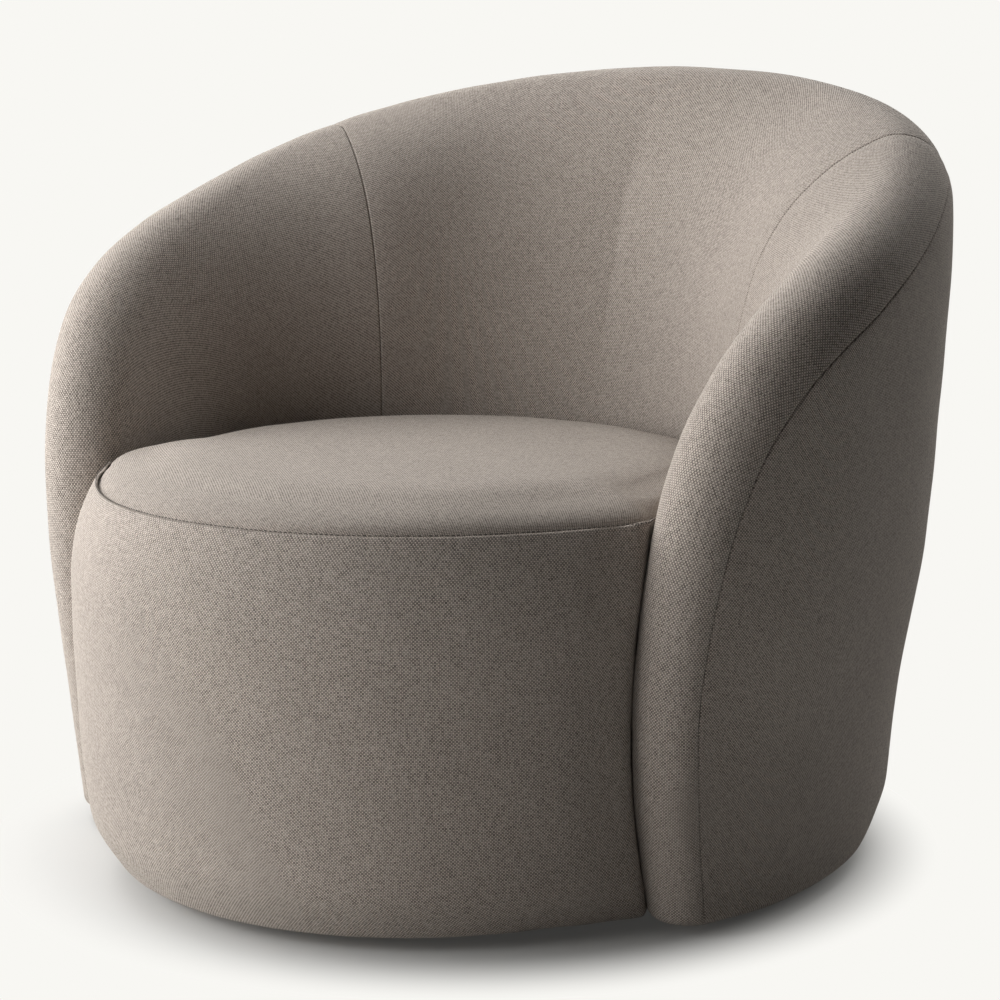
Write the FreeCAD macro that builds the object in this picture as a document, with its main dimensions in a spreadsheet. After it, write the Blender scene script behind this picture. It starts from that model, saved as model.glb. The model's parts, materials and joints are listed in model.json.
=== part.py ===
import FreeCAD, Part
import math
import os

import Sketcher
from FreeCAD import Placement, Rotation, Vector

# Swivel accent chair: a round seat drum inside a wraparound back and arms with
# one rolled rim, standing on a hidden ball-bearing swivel.
# Millimetres, +Z up. The origin is on the floor on the swivel axis, the sitter
# faces -Y, and the right arm in the picture is on the +X side.
# The upholstery is drawn about its plan centre, then set forward of the axis.

doc = FreeCAD.newDocument("swivel_accent_chair")

# Driving dimensions: name, value, what it is
SIZES = (
    ("overall_width", 880, "across the arms at their widest"),
    ("overall_height", 750, "floor to the top of the back roll"),
    ("rear_depth", 481, "plan centre to the rearmost point"),
    ("arm_front_reach", 396, "how soon the outside turns in towards the arm fronts"),
    ("skirt_gap", 12, "floor to the lower edge of the upholstery"),
    ("roll_radius", 53, "largest radius of the rolled rim"),
    ("arm_depth", 144, "outside of an arm at its widest to the inside of the tub at seat level"),
    ("tub_depth", 302, "tub centre to the inside back at seat level"),
    ("tub_setforward", 46, "tub centre in front of the plan centre"),
    ("plan_setforward", 35.5, "plan centre of the upholstery in front of the swivel axis"),
    ("lining_foot", 345, "height where the inside lining passes below the seat"),
    ("lining_bulge", 34, "rounding of the inside lining over its foot, fullest at the inner seams"),
    ("front_step", 73, "rounded seat front set in from the widest outside, each side"),
    ("drum_front", 466, "seat front ahead of its own centre"),
    ("drum_centre", 59, "centre of the seat front curve behind the plan centre"),
    ("seam_height", 370, "seam round the seat top"),
    ("seat_crown", 24, "rise of the seat top above its seam"),
    ("drum_tuck", 2, "play between the seat band and the arm roll"),
    ("band_end", 60, "where the band ends inside the arms, ahead of the plan centre"),
    ("band_ease", 110, "length over which the band straightens before the arm"),
    ("cover_thickness", 3, "fabric with its thin wadding"),
    ("layer_gap", 0.5, "play between neighbouring layers"),
    ("frame_play", 1, "play between the wooden frame and the layers over it"),
    ("seat_play", 2.5, "play round the seat foam, the felt and the seat rail"),
    ("roll_foam", 22, "foam over the rim and the inside"),
    ("wrap_board", 3, "bent board on the outside"),
    ("band_foam", 12, "foam on the seat front"),
    ("band_board", 5, "bent plywood behind the seat front"),
    ("glide_height", 4, "floor glide under the plinth"),
    ("glide_radius", 14, "floor glide"),
    ("glide_stem_radius", 4, "stem of a floor glide"),
    ("glide_stem_length", 9, "stem of a floor glide"),
    ("glide_circle", 205, "circle of the floor glides"),
    ("plinth_radius", 238, "round plinth disc"),
    ("plinth_thickness", 16, "round plinth disc"),
    ("plinth_edge", 4, "rounding of the plinth disc"),
    ("hub_opening", 30, "hole round the pivot in the wooden parts"),
    ("swivel_height", 18, "swivel bearing from plate to plate"),
    ("plate_side", 240, "square swivel plates"),
    ("plate_corner", 18, "corner radius of the swivel plates"),
    ("plate_thickness", 2.5, "swivel plate"),
    ("race_circle", 88, "circle of the balls"),
    ("race_half_width", 8, "half width of a raised race"),
    ("race_height", 4, "height of a raised race"),
    ("ball_radius", 4.5, "bearing ball"),
    ("ball_play", 0.25, "play round a ball"),
    ("cage_half_width", 7, "half width of the ball cage"),
    ("cage_thickness", 1.6, "ball cage"),
    ("pivot_radius", 12, "pivot rivet"),
    ("pivot_play", 0.08, "running play of the pivot"),
    ("pivot_head", 18, "radius of the pivot's flanges"),
    ("pivot_flange", 1.8, "thickness of the pivot's flanges"),
    ("fixing_offset", 100, "plate fixings from the axis along X and Y"),
    ("screw_radius", 2.2, "wood screw shank"),
    ("screw_head_radius", 4.6, "wood screw head"),
    ("screw_head_height", 2.4, "wood screw head"),
    ("screw_length", 13, "wood screw shank"),
    ("bolt_radius", 3, "plate bolt shank"),
    ("bolt_head_radius", 5.5, "plate bolt head"),
    ("bolt_head_height", 3.6, "plate bolt head"),
    ("bolt_tail", 4, "plate bolt beyond the tee nut"),
    ("hole_play", 0.3, "play round a screw, bolt or stem"),
    ("tee_flange_radius", 9.5, "tee nut flange"),
    ("tee_flange", 1.5, "tee nut flange"),
    ("tee_barrel_radius", 4.2, "tee nut barrel"),
    ("tee_barrel", 9, "tee nut barrel"),
    ("board_thickness", 18, "plywood of the frame"),
    ("board_radius", 276, "swivel board"),
    ("ring_opening", 246, "opening of the base ring, clear of the plinth"),
    ("ring_inset", 9, "base ring inside the upholstery"),
    ("staple_margin", 20, "dust cover inside the edge of the base ring"),
    ("board_screw_circle", 262, "screws of the swivel board"),
    ("board_screw_length", 30, "screws of the swivel board"),
    ("dust_cover_thickness", 0.8, "black cloth under the chair"),
    ("upright_width", 45, "seat uprights, along the rail"),
    ("upright_depth", 24, "seat uprights, across the rail"),
    ("upright_inset", 36, "seat rail edge to the middle of an upright"),
    ("rail_thickness", 25, "seat rail ring"),
    ("rail_top", 277, "top of the seat rail"),
    ("rail_width", 46, "seat rail between its opening and the arms"),
    ("rail_opening_front", 325, "front of the seat rail opening, from the axis"),
    ("rail_opening_rear", 178, "rear of the seat rail opening, from the axis"),
    ("webbing_width", 60, "elastic seat webbing"),
    ("webbing_thickness", 2, "elastic webbing"),
    ("webbing_pitch", 92, "spacing of the seat webbing"),
    ("webbing_grip", 20, "webbing on the rail at each end"),
    ("deck_pad", 8, "felt pad over the webbing"),
    ("rail_stock", 18, "thickness of the bent rim rail"),
    ("rail_depth", 44, "depth of the bent rim rail"),
    ("rib_thickness", 15, "plywood ribs of the back"),
    ("hoop_top", 358, "top of the hoop behind the inside back"),
    ("hoop_width", 34, "hoop"),
    ("hoop_play", 6, "hoop clear of the leaning inside foam"),
)

sheet = doc.addObject("Spreadsheet::Sheet", "Sizes")
for row, (alias, value, meaning) in enumerate(SIZES, start=1):
    sheet.set(f"A{row}", meaning)
    sheet.set(f"B{row}", str(value))
    sheet.setAlias(f"B{row}", alias)
doc.recompute()


def size(alias):
    return float(sheet.get(alias))


# Shapes of the outlines, as shares of the sizes they follow

# height share of the overall height, half width share, rear depth share
FLARE_SHARES = (
    (0.016, 0.889, 0.630),
    (0.045, 0.892, 0.780),
    (0.080, 0.896, 0.862),
    (0.200, 0.910, 0.894),
    (0.400, 0.961, 0.944),
    (0.600, 0.981, 0.988),
    (0.800, 1.000, 1.000),
    (1.000, 0.971, 0.971),
)
# roll radius share at a height share
ROLL_SHARES = ((0.016, 0.66), (0.400, 0.79), (0.573, 0.89), (0.747, 1.0), (0.827, 0.98), (0.939, 0.87))
# centre line of the roll: share of a quarter turn from the side to the back, height share
RIM_SHARES = (
    (-0.263, 0.016),
    (-0.291, 0.147),
    (-0.300, 0.300),
    (-0.281, 0.440),
    (-0.228, 0.560),
    (-0.128, 0.653),
    (0.000, 0.712),
    (0.178, 0.768),
    (0.400, 0.840),
    (0.578, 0.889),
    (0.778, 0.925),
    (1.000, 0.939),
)
# seat wall: height share of the seam height, how far it stands out as a share of the drum half width
WALL_SHARES = ((0.032, -0.098), (0.165, -0.024), (0.405, -0.002), (0.757, 0.008), (1.000, -0.033))
BACK_SQUARENESS = 2.43
DRUM_SQUARENESS = 2.06
CROWN_FULLNESS = 6
# places of the sections along half the rim, from the arm's front foot to the middle of the back
SECTION_SHARES = (0, 0.05, 0.11, 0.18, 0.25, 0.32, 0.38, 0.44, 0.51, 0.58, 0.64, 0.70, 0.77, 0.85, 0.92, 1)
INNER_SEAM_SHARE = 0.70
STRAP_START_SHARE = 0.51
# places of the points along a section: up the outside, over the roll, down the inside
OUTSIDE_SHARES = (0, 0.03, 0.08, 0.16, 0.32, 0.52, 0.72, 0.88, 1)
OUTER_SEAM_SHARE = 0.09
SEAM_EDGE_SHARE = 0.002
BELOW_SEAM_SHARE = OUTER_SEAM_SHARE - SEAM_EDGE_SHARE
ABOVE_SEAM_SHARE = OUTER_SEAM_SHARE + SEAM_EDGE_SHARE
ROUND_SHARES = (0, BELOW_SEAM_SHARE, ABOVE_SEAM_SHARE, 0.26, 0.44, 0.62, 0.81, 1)
INSIDE_SHARES = (0, 0.2, 0.4, 0.6, 0.8, 1)
# how full the inside lining is at places along half the rim
FULLNESS_SHARES = ((0, 0), (0.30, 0), (0.48, 0.55), (0.60, 0.9), (0.70, 1), (0.85, 0.7), (1, 0.45))
# pull of the curves: straight part below the roll, plain lining, height of the full lining's pull
OUTSIDE_PULL_SHARE = 0.4
PLAIN_PULL_SHARE = 0.55
FULL_PULL_SHARE = 0.91
# where the lining's foot has risen to its level, where it starts round the tub, and how it speeds up
FOOT_LEVEL_SHARE = 0.30
FOOT_START_SHARE = 0.12
FOOT_SPEED = 1.70
# where the outside of a section ends at its foot, as shares of a quarter turn, and how it speeds up
OUTSIDE_FOOT_SHARES = (-0.07, 1)
OUTSIDE_FOOT_SPEED = 1.2
# place along half the rim where the seat meets the arm's roll
TUCK_SHARE = 0.13
QUARTER = math.pi / 2
SMALL_STEP_COUNT = 900


def smooth_value(places, values, x):
    """Value at x of a smooth curve through a few hand-placed values, without overshoot."""
    slopes = []
    steps = [(values[i + 1] - values[i]) / (places[i + 1] - places[i]) for i in range(len(places) - 1)]
    for i in range(len(places)):
        before = steps[max(i - 1, 0)]
        after = steps[min(i, len(steps) - 1)]
        slopes.append(2 * before * after / (before + after) if before * after > 0 else 0)
    x = min(max(x, places[0]), places[-1])
    i = max(k for k in range(len(places) - 1) if places[k] <= x)
    span = places[i + 1] - places[i]
    t = (x - places[i]) / span
    return (
        values[i] * (1 + 2 * t) * (1 - t) ** 2
        + values[i + 1] * t * t * (3 - 2 * t)
        + slopes[i] * span * t * (1 - t) ** 2
        - slopes[i + 1] * span * t * t * (1 - t)
    )


HEIGHT = size("overall_height")
BOTTOM = size("skirt_gap")
COVER = size("cover_thickness")
GAP = size("layer_gap")
FOAM_OUTSIDE = COVER + GAP
FOAM_INSIDE = FOAM_OUTSIDE + size("roll_foam")
BOARD_INSIDE = FOAM_OUTSIDE + size("wrap_board")
PLINTH_TOP = size("glide_height") + size("plinth_thickness")
RING_BOTTOM = PLINTH_TOP
RING_TOP = RING_BOTTOM + size("board_thickness")
BOARD_TOP = RING_TOP + size("board_thickness")
RING_CLEAR = RING_TOP + GAP
TUB_HALF_WIDTH = size("overall_width") / 2 - size("arm_depth")
DRUM_HALF_WIDTH = size("overall_width") / 2 - size("front_step")


# Outside of the back and arms


def shell_radius(turn, z, inset):
    """Distance from the plan centre to the outside surface, in the direction turn."""
    heights = [share[0] for share in FLARE_SHARES]
    widths = [share[1] for share in FLARE_SHARES]
    half_width = size("overall_width") / 2 * smooth_value(heights, widths, z / HEIGHT) - inset
    if turn < 0:
        depth = size("arm_front_reach") - inset
        power = 2
    else:
        depths = [share[2] for share in FLARE_SHARES]
        depth = size("rear_depth") * smooth_value(heights, depths, z / HEIGHT) - inset
        power = BACK_SQUARENESS
    across = (abs(math.cos(turn)) / half_width) ** power
    along = (abs(math.sin(turn)) / depth) ** power
    return (across + along) ** (-1 / power)


def shell_point(turn, z, inset=0):
    radius = shell_radius(turn, z, inset)
    return Vector(radius * math.cos(turn), radius * math.sin(turn), z)


def shell_normal(turn, z, inset=0):
    small_turn = QUARTER / SMALL_STEP_COUNT
    small_rise = HEIGHT / SMALL_STEP_COUNT
    around = shell_point(turn + small_turn, z, inset) - shell_point(turn - small_turn, z, inset)
    up = shell_point(turn, z + small_rise, inset) - shell_point(turn, z - small_rise, inset)
    return around.cross(up).normalize()


def roll_radius_at(z):
    heights, radii = zip(*ROLL_SHARES)
    return size("roll_radius") * smooth_value(heights, radii, z / HEIGHT)


def mirrored(point):
    return Vector(-point.x, point.y, point.z)


def rim_curve():
    """Centre line of the roll, from the right arm's foot over the back to the left arm's foot."""
    half = []
    for turn_share, height_share in RIM_SHARES:
        z = height_share * HEIGHT
        half.append(shell_point(turn_share * QUARTER, z, roll_radius_at(z)))
    half[-1].x = 0
    curve = Part.BSplineCurve()
    curve.interpolate(Points=half + [mirrored(p) for p in reversed(half[:-1])])
    return curve.toShape()


RIM = rim_curve()


def inner_foot(share):
    """Lower end of the inside lining, up the arm and then round the tub, with its direction."""
    rise = math.sin(QUARTER * min(1, share / FOOT_LEVEL_SHARE))
    z = BOTTOM + (size("lining_foot") - BOTTOM) * rise
    turn = QUARTER * (max(0, share - FOOT_START_SHARE) / (1 - FOOT_START_SHARE)) ** FOOT_SPEED
    back = size("tub_depth") * math.sin(turn) - size("tub_setforward")
    return Vector(TUB_HALF_WIDTH * math.cos(turn), back, z), turn


def wrap_angle(across, drop, radius):
    """How far round the roll, from its outside, the straight line to a point leaves it."""
    return math.atan2(-drop, across) % (4 * QUARTER) - math.acos(radius / math.hypot(across, drop))


def section(share):
    """Points with outward normals of one section: outside from its foot, roll, inside to its foot."""
    place = RIM.getParameterByLength(RIM.Length / 2 * share)
    centre = RIM.valueAt(place)
    along = RIM.tangentAt(place) if share else Vector(0, 0, 1)
    radius = roll_radius_at(centre.z)
    out = shell_normal(math.atan2(centre.y, centre.x), centre.z, radius)
    out = (out - along * out.dot(along)).normalize()
    down = along.cross(out).normalize()
    outside = []
    start = centre + out * radius
    reach = centre.z - BOTTOM + radius
    control = start + down * (reach * OUTSIDE_PULL_SHARE if share > FOOT_LEVEL_SHARE else radius)
    start_turn, control_turn = math.atan2(start.y, start.x), math.atan2(control.y, control.x)
    low, high = OUTSIDE_FOOT_SHARES
    end_turn = QUARTER * (low + (high - low) * share ** OUTSIDE_FOOT_SPEED)
    drift = start - shell_point(start_turn, start.z)
    for t in OUTSIDE_SHARES:
        blend = (t * t, 2 * t * (1 - t), (1 - t) ** 2)
        turn = blend[0] * start_turn + blend[1] * control_turn + blend[2] * end_turn
        z = blend[0] * start.z + blend[1] * max(control.z, BOTTOM) + blend[2] * BOTTOM
        normal = shell_normal(turn, z)
        if not share:
            normal = Vector(normal.x, normal.y, 0).normalize()
        outside.append((shell_point(turn, z) + drift * t ** 4, normal))
    outside[-1] = (start, out)
    foot, foot_turn = inner_foot(share)

    def ray_at(angle):
        return out * math.cos(angle) - down * math.sin(angle)

    def wrap_to(point):
        return wrap_angle((point - centre).dot(out), (point - centre).dot(down), radius)

    places, values = zip(*FULLNESS_SHARES)
    full = smooth_value(places, values, share)
    plain_end = centre + ray_at(wrap_to(foot)) * radius
    plain = foot + (plain_end - foot) * PLAIN_PULL_SHARE
    inward = Vector(-math.cos(foot_turn), -math.sin(foot_turn), 0) * size("lining_bulge")
    bulged = foot + inward + Vector(0, 0, (centre.z - foot.z) * FULL_PULL_SHARE)
    control = plain * (1 - full) + bulged * full
    wrap = wrap_to(control)
    seam_gap = GAP / 2 / radius
    shifts = {BELOW_SEAM_SHARE: -seam_gap, ABOVE_SEAM_SHARE: seam_gap}
    roll = []
    for t in ROUND_SHARES:
        ray = ray_at(wrap * OUTER_SEAM_SHARE + shifts[t] if t in shifts else wrap * t)
        roll.append((centre + ray * radius, ray))
    start, ray = roll[-1]
    inside = []
    for t in INSIDE_SHARES:
        inside.append((start * (1 - t) ** 2 + control * (2 * t * (1 - t)) + foot * (t * t), ray))
    return {"outside": outside, "roll": roll, "inside": inside}


def mirrored_section(parts):
    return {name: [(mirrored(point), mirrored(normal)) for point, normal in parts[name]] for name in parts}


def with_inside_normals(sections):
    """Outward normals of the inside lining, from its neighbouring points."""
    ghost = mirrored_section(sections[-2])
    last = len(INSIDE_SHARES) - 1
    for i, parts in enumerate(sections):
        before = sections[max(i - 1, 0)]["inside"]
        after = (sections + [ghost])[i + 1]["inside"]
        inside = parts["inside"]
        for k in range(1, last + 1):
            around = after[k][0] - before[k][0]
            fall = inside[min(k + 1, last)][0] - inside[k - 1][0]
            normal = around.cross(fall).normalize()
            if i == 0:
                normal = Vector(normal.x, normal.y, 0).normalize()
            inside[k] = (inside[k][0], normal)
    for name in sections[-1]:
        for point, normal in sections[-1][name]:
            point.x = 0
            normal.x = 0
    return sections


HALF = with_inside_normals([section(share) for share in SECTION_SHARES])
WHOLE = HALF + [mirrored_section(parts) for parts in reversed(HALF[:-1])]
SPREAD = list(SECTION_SHARES) + [2 - share for share in reversed(SECTION_SHARES[:-1])]


def patch(grid, rows, columns):
    """Smooth surface through a grid of points, with given spacings along both ways."""
    across = []
    for points in grid:
        curve = Part.BSplineCurve()
        curve.interpolate(Points=points, Parameters=columns)
        across.append(curve)
    poles = []
    for k in range(across[0].NbPoles):
        curve = Part.BSplineCurve()
        curve.interpolate(Points=[line.getPole(k + 1) for line in across], Parameters=rows)
        poles.append(curve)
    net = [[poles[k].getPole(i + 1) for k in range(len(poles))] for i in range(poles[0].NbPoles)]
    surface = Part.BSplineSurface()
    surface.buildFromPolesMultsKnots(
        net, poles[0].getMultiplicities(), across[0].getMultiplicities(),
        poles[0].getKnots(), across[0].getKnots(), False, False, poles[0].Degree, across[0].Degree,
    )
    return surface


def edge_of(surface, side):
    """One border of a surface: first or last row, first or last column."""
    low_row, high_row, low_column, high_column = surface.bounds()
    if side == "first row":
        return surface.uIso(low_row).toShape()
    if side == "last row":
        return surface.uIso(high_row).toShape()
    if side == "first column":
        return surface.vIso(low_column).toShape()
    return surface.vIso(high_column).toShape()


def closed_solid(faces):
    shell = Part.Shell(faces)
    shell.sewShape()
    solid = Part.Solid(shell)
    if solid.Volume < 0:
        solid.reverse()
    return solid


def inset_surface(skin, part, inset):
    """Smooth surface of one part of a skin, set in from its outer side."""
    sections, rows, spacings = skin
    grid = [[point - normal * inset for point, normal in parts[part]] for parts in sections]
    return patch(grid, rows, list(spacings[part]))


def layer(skin, first_row, last_row, stretches, outer_inset, inner_inset):
    """Closed solid between two offsets of a skin: stretches are (part, first column, last column)."""
    rows, spacings = skin[1:]
    faces = []
    count = len(stretches)
    for number, (part, first, last) in enumerate(stretches):
        pair = []
        for inset in (outer_inset, inner_inset):
            surface = inset_surface(skin, part, inset)
            surface.segment(rows[first_row], rows[last_row], spacings[part][first], spacings[part][last])
            pair.append(surface)
        faces += [surface.toShape() for surface in pair]
        borders = ["first row", "last row"]
        if number == 0:
            borders.append("first column")
        if number == count - 1:
            borders.append("last column")
        for border in borders:
            side = Part.makeRuledSurface(edge_of(pair[0], border), edge_of(pair[1], border))
            faces += side.Faces
    return closed_solid(faces)


SHELL = (WHOLE, SPREAD, {"outside": OUTSIDE_SHARES, "roll": ROUND_SHARES, "inside": INSIDE_SHARES})


# Outline of the seat drum

ARM_ROLL = RIM.valueAt(RIM.getParameterByLength(RIM.Length / 2 * TUCK_SHARE))
ARM_ROLL_RADIUS = roll_radius_at(ARM_ROLL.z)
TUCK_HALF_WIDTH = ARM_ROLL.x - ARM_ROLL_RADIUS - size("drum_tuck")
TUCK_DEPTH = size("tub_depth") - (TUB_HALF_WIDTH - TUCK_HALF_WIDTH)


def wall_stand_out(z):
    heights = [share[0] for share in WALL_SHARES]
    return DRUM_HALF_WIDTH * smooth_value(heights, [s[1] for s in WALL_SHARES], z / size("seam_height"))


FRONT_OUTLINE_DEGREES = (90, 80, 70, 60, 50, 42, 36.5)


def drum_half(inset):
    """Right half of the seat outline, front centre first, past the arm roll to the rear centre."""
    power = 2 / DRUM_SQUARENESS
    half_width = DRUM_HALF_WIDTH - inset
    front = size("drum_front") - inset
    points = []
    for degrees in FRONT_OUTLINE_DEGREES:
        sweep = math.radians(degrees)
        points.append(
            (half_width * math.cos(sweep) ** power, size("drum_centre") - front * math.sin(sweep) ** power)
        )
    tuck = ARM_ROLL_RADIUS + size("drum_tuck") + inset
    for degrees in (228, 206, 184):
        sweep = math.radians(degrees)
        points.append((ARM_ROLL.x + tuck * math.cos(sweep), ARM_ROLL.y + tuck * math.sin(sweep)))
    inner = TUCK_HALF_WIDTH - inset
    for share in (0.75, 0.4, 0):
        points.append((inner, -size("tub_setforward") + share * (ARM_ROLL.y + size("tub_setforward"))))
    for degrees in (12, 26, 42, 58, 74, 90):
        sweep = math.radians(degrees)
        depth = (TUCK_DEPTH - inset) * math.sin(sweep)
        points.append((inner * math.cos(sweep), depth - size("tub_setforward")))
    points[0] = (0, points[0][1])
    points[-1] = (0, points[-1][1])
    return points


def eased_half(inset, stand_out):
    """Outline that stands out at the seat front only, easing to nothing before the arms."""
    points = []
    for (x, y), (out_x, out_y) in zip(drum_half(inset), drum_half(inset - stand_out)):
        ease = min(1, max(0, (ARM_ROLL.y - y) / size("band_ease")))
        points.append((x + (out_x - x) * ease, y + (out_y - y) * ease))
    return points


def both_halves(half):
    return half + [(-x, y) for x, y in reversed(half[1:-1])]


def drum_curve(inset, z, shrink=1, stand_out=0):
    """Closed outline of the seat at a height, set in by inset and shrunk towards its middle."""
    half = eased_half(inset, stand_out)
    middle = (half[0][1] + half[-1][1]) / 2
    ring = both_halves(half)
    return closed_curve([Vector(x * shrink, middle + (y - middle) * shrink, z) for x, y in ring])


def rail_curve(inset):
    """Closed outline of the rail and felt, cut off round at the seat corners beside the arms."""
    half = drum_half(inset)
    corner = len(FRONT_OUTLINE_DEGREES)
    ring = both_halves(half[: corner - 1] + half[corner + 1 :])
    return closed_curve([Vector(x, y, 0) for x, y in ring])


def closed_curve(points):
    """Smooth closed curve through the points, spaced by their distances."""
    curve = Part.BSplineCurve()
    curve.interpolate(Points=points, PeriodicFlag=True)
    return curve


def stacked(curves):
    return Part.makeLoft([Part.Wire([curve.toShape()]) for curve in curves], True, False)


def band_sections():
    """Sections of the seat band from the left arm round the front to the right arm."""
    levels = [share * SEAM for share in BAND_SHARES]
    outlines = [eased_half(0, wall_stand_out(z)) for z in levels]
    count = sum(y < -size("band_end") for x, y in drum_half(0))
    columns = [[Vector(*outline[i], z) for outline, z in zip(outlines, levels)] for i in range(count)]
    whole = [[mirrored(p) for p in column] for column in reversed(columns[1:])] + columns
    last = len(BAND_SHARES) - 1
    sections = []
    for i, column in enumerate(whole):
        before, after = whole[max(i - 1, 0)], whole[min(i + 1, len(whole) - 1)]
        points = []
        for k in range(last + 1):
            around = after[k] - before[k]
            up = column[min(k + 1, last)] - column[max(k - 1, 0)]
            points.append((column[k], around.cross(up).normalize()))
        sections.append({"band": points})
    return sections


SEAM = size("seam_height")
BAND_SHARES = (0.032, 0.05, 0.08, 0.12, 0.18, 0.27, 0.4, 0.54, 0.67, 0.77, 0.86, 0.93, 0.97, 1)
BAND = band_sections()
BAND_TOP_ROW = len(BAND_SHARES) - 1
BAND_FOOT_ROW = min(k for k, share in enumerate(BAND_SHARES) if share * SEAM > RING_CLEAR)
BAND_STEPS = [0]
for before, after in zip(BAND, BAND[1:]):
    step = after["band"][BAND_FOOT_ROW][0] - before["band"][BAND_FOOT_ROW][0]
    BAND_STEPS.append(BAND_STEPS[-1] + step.Length)
DRUM = (BAND, BAND_STEPS, {"band": BAND_SHARES})


def band_layer(first, outer_inset, inner_inset):
    return layer(DRUM, 0, len(BAND) - 1, [("band", first, BAND_TOP_ROW)], outer_inset, inner_inset)


# Helpers for document objects

finished = []


def finish(item, node):
    item.Label = node
    finished.append(item)
    return item


def set_forward(item):
    """Move a piece drawn about the plan centre to its place about the swivel axis."""
    item.setExpression("Placement.Base.y", "-Sizes.plan_setforward")
    return item


def shaped(node, shape):
    """A free-form piece whose shape is computed from the sizes."""
    item = doc.addObject("Part::Feature", node)
    item.Shape = shape
    return finish(set_forward(item), node)


def new_body(name):
    body = doc.addObject("PartDesign::Body", name)
    body.AllowCompound = True
    return body


def origin_feature(body, role):
    return [item for item in body.Origin.OriginFeatures if item.Role == role][0]


def new_sketch(body, name, plane="XY_Plane", lift=None):
    sketch = body.newObject("Sketcher::SketchObject", name)
    sketch.AttachmentSupport = (origin_feature(body, plane), [""])
    sketch.MapMode = "FlatFace"
    if lift:
        sketch.setExpression("AttachmentOffset.Base.z", lift)
    return sketch


def value_of(formula):
    """Number that a formula of sheet cells stands for now, to draw a sketch near its final shape."""
    cells = {alias: size(alias) for alias, value, meaning in SIZES}
    total = 0.0
    for term in formula.replace(" - ", " + -").split(" + "):
        sign = -1 if term.startswith("-") else 1
        factors = term.lstrip("-").split(" * ")
        number = 1.0
        for factor in factors:
            divisor = 1.0
            if " / " in factor:
                factor, below = factor.split(" / ")
                divisor = float(below)
            name = factor.replace("Sizes.", "").strip()
            number *= (cells[name] if name in cells else float(name)) / divisor
        total += sign * number
    return total


def bind(sketch, kind, where, formula, tag):
    index = sketch.addConstraint(Sketcher.Constraint(kind, *where, value_of(formula)))
    sketch.renameConstraint(index, tag)
    sketch.setExpression(f"Constraints.{tag}", formula)


def add_circle(sketch, radius, x="0", y="0"):
    """Circle whose radius and centre follow the sheet."""
    tag = sketch.GeometryCount
    centre = Vector(value_of(x), value_of(y), 0)
    index = sketch.addGeometry(Part.Circle(centre, Vector(0, 0, 1), value_of(radius)), False)
    bind(sketch, "Radius", (index,), radius, f"radius{tag}")
    for kind, formula, name in (("DistanceX", x, "across"), ("DistanceY", y, "along")):
        if formula == "0":
            continue
        bind(sketch, kind, (-1, 1, index, 3), formula, f"{name}{tag}")
    if x == "0" and y == "0":
        sketch.addConstraint(Sketcher.Constraint("Coincident", index, 3, -1, 1))
    elif x == "0":
        sketch.addConstraint(Sketcher.Constraint("PointOnObject", index, 3, -2))
    elif y == "0":
        sketch.addConstraint(Sketcher.Constraint("PointOnObject", index, 3, -1))


def add_polygon(sketch, corners):
    """Closed polygon whose corners follow the sheet."""
    first = sketch.GeometryCount
    places = [Vector(value_of(x), value_of(y), 0) for x, y in corners]
    count = len(corners)
    for i in range(count):
        sketch.addGeometry(Part.LineSegment(places[i], places[(i + 1) % count]), False)
    for i in range(count):
        sketch.addConstraint(Sketcher.Constraint("Coincident", first + i, 2, first + (i + 1) % count, 1))
    for i, (x, y) in enumerate(corners):
        bind(sketch, "DistanceX", (-1, 1, first + i, 1), x, f"x{first + i}")
        bind(sketch, "DistanceY", (-1, 1, first + i, 1), y, f"y{first + i}")


def pad(body, sketch, length):
    feature = body.newObject("PartDesign::Pad", sketch.Name + "_pad")
    feature.Profile = sketch
    feature.setExpression("Length", length)
    return feature


def pocket(body, sketch, length):
    """Cut upwards from the sketch, so the sketch lies at the lower end of the hole."""
    feature = body.newObject("PartDesign::Pocket", sketch.Name + "_pocket")
    feature.Profile = sketch
    feature.Reversed = True
    feature.setExpression("Length", length)
    return feature


def revolve(body, sketch, axis_at=None):
    """Full turn about the swivel axis, or about an upright line at axis_at."""
    feature = body.newObject("PartDesign::Revolution", sketch.Name + "_turn")
    feature.Profile = sketch
    if axis_at:
        place = value_of(axis_at)
        rise = size("overall_height")
        line = sketch.addGeometry(Part.LineSegment(Vector(place, 0, 0), Vector(place, rise, 0)), True)
        sketch.addConstraint(Sketcher.Constraint("Vertical", line))
        bind(sketch, "DistanceX", (-1, 1, line, 1), axis_at, "axis_place")
        feature.ReferenceAxis = (sketch, ["Axis0"])
    else:
        feature.ReferenceAxis = (sketch, ["V_Axis"])
    feature.Angle = 360
    return feature


def polar(body, feature, count):
    pattern = body.newObject("PartDesign::PolarPattern", feature.Name + "_ring")
    pattern.Originals = [feature]
    pattern.Axis = (origin_feature(body, "Z_Axis"), [""])
    pattern.Angle = 360
    pattern.Occurrences = count
    body.Tip = pattern
    return pattern


def group(node, items):
    """Identical separate pieces that share one node."""
    compound = doc.addObject("Part::Compound", node)
    compound.Links = items
    return finish(compound, node)


def boolean(kind, name, base, tool):
    feature = doc.addObject(kind, name)
    feature.Base = base
    feature.Tool = tool
    return feature


# Plinth and swivel

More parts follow.
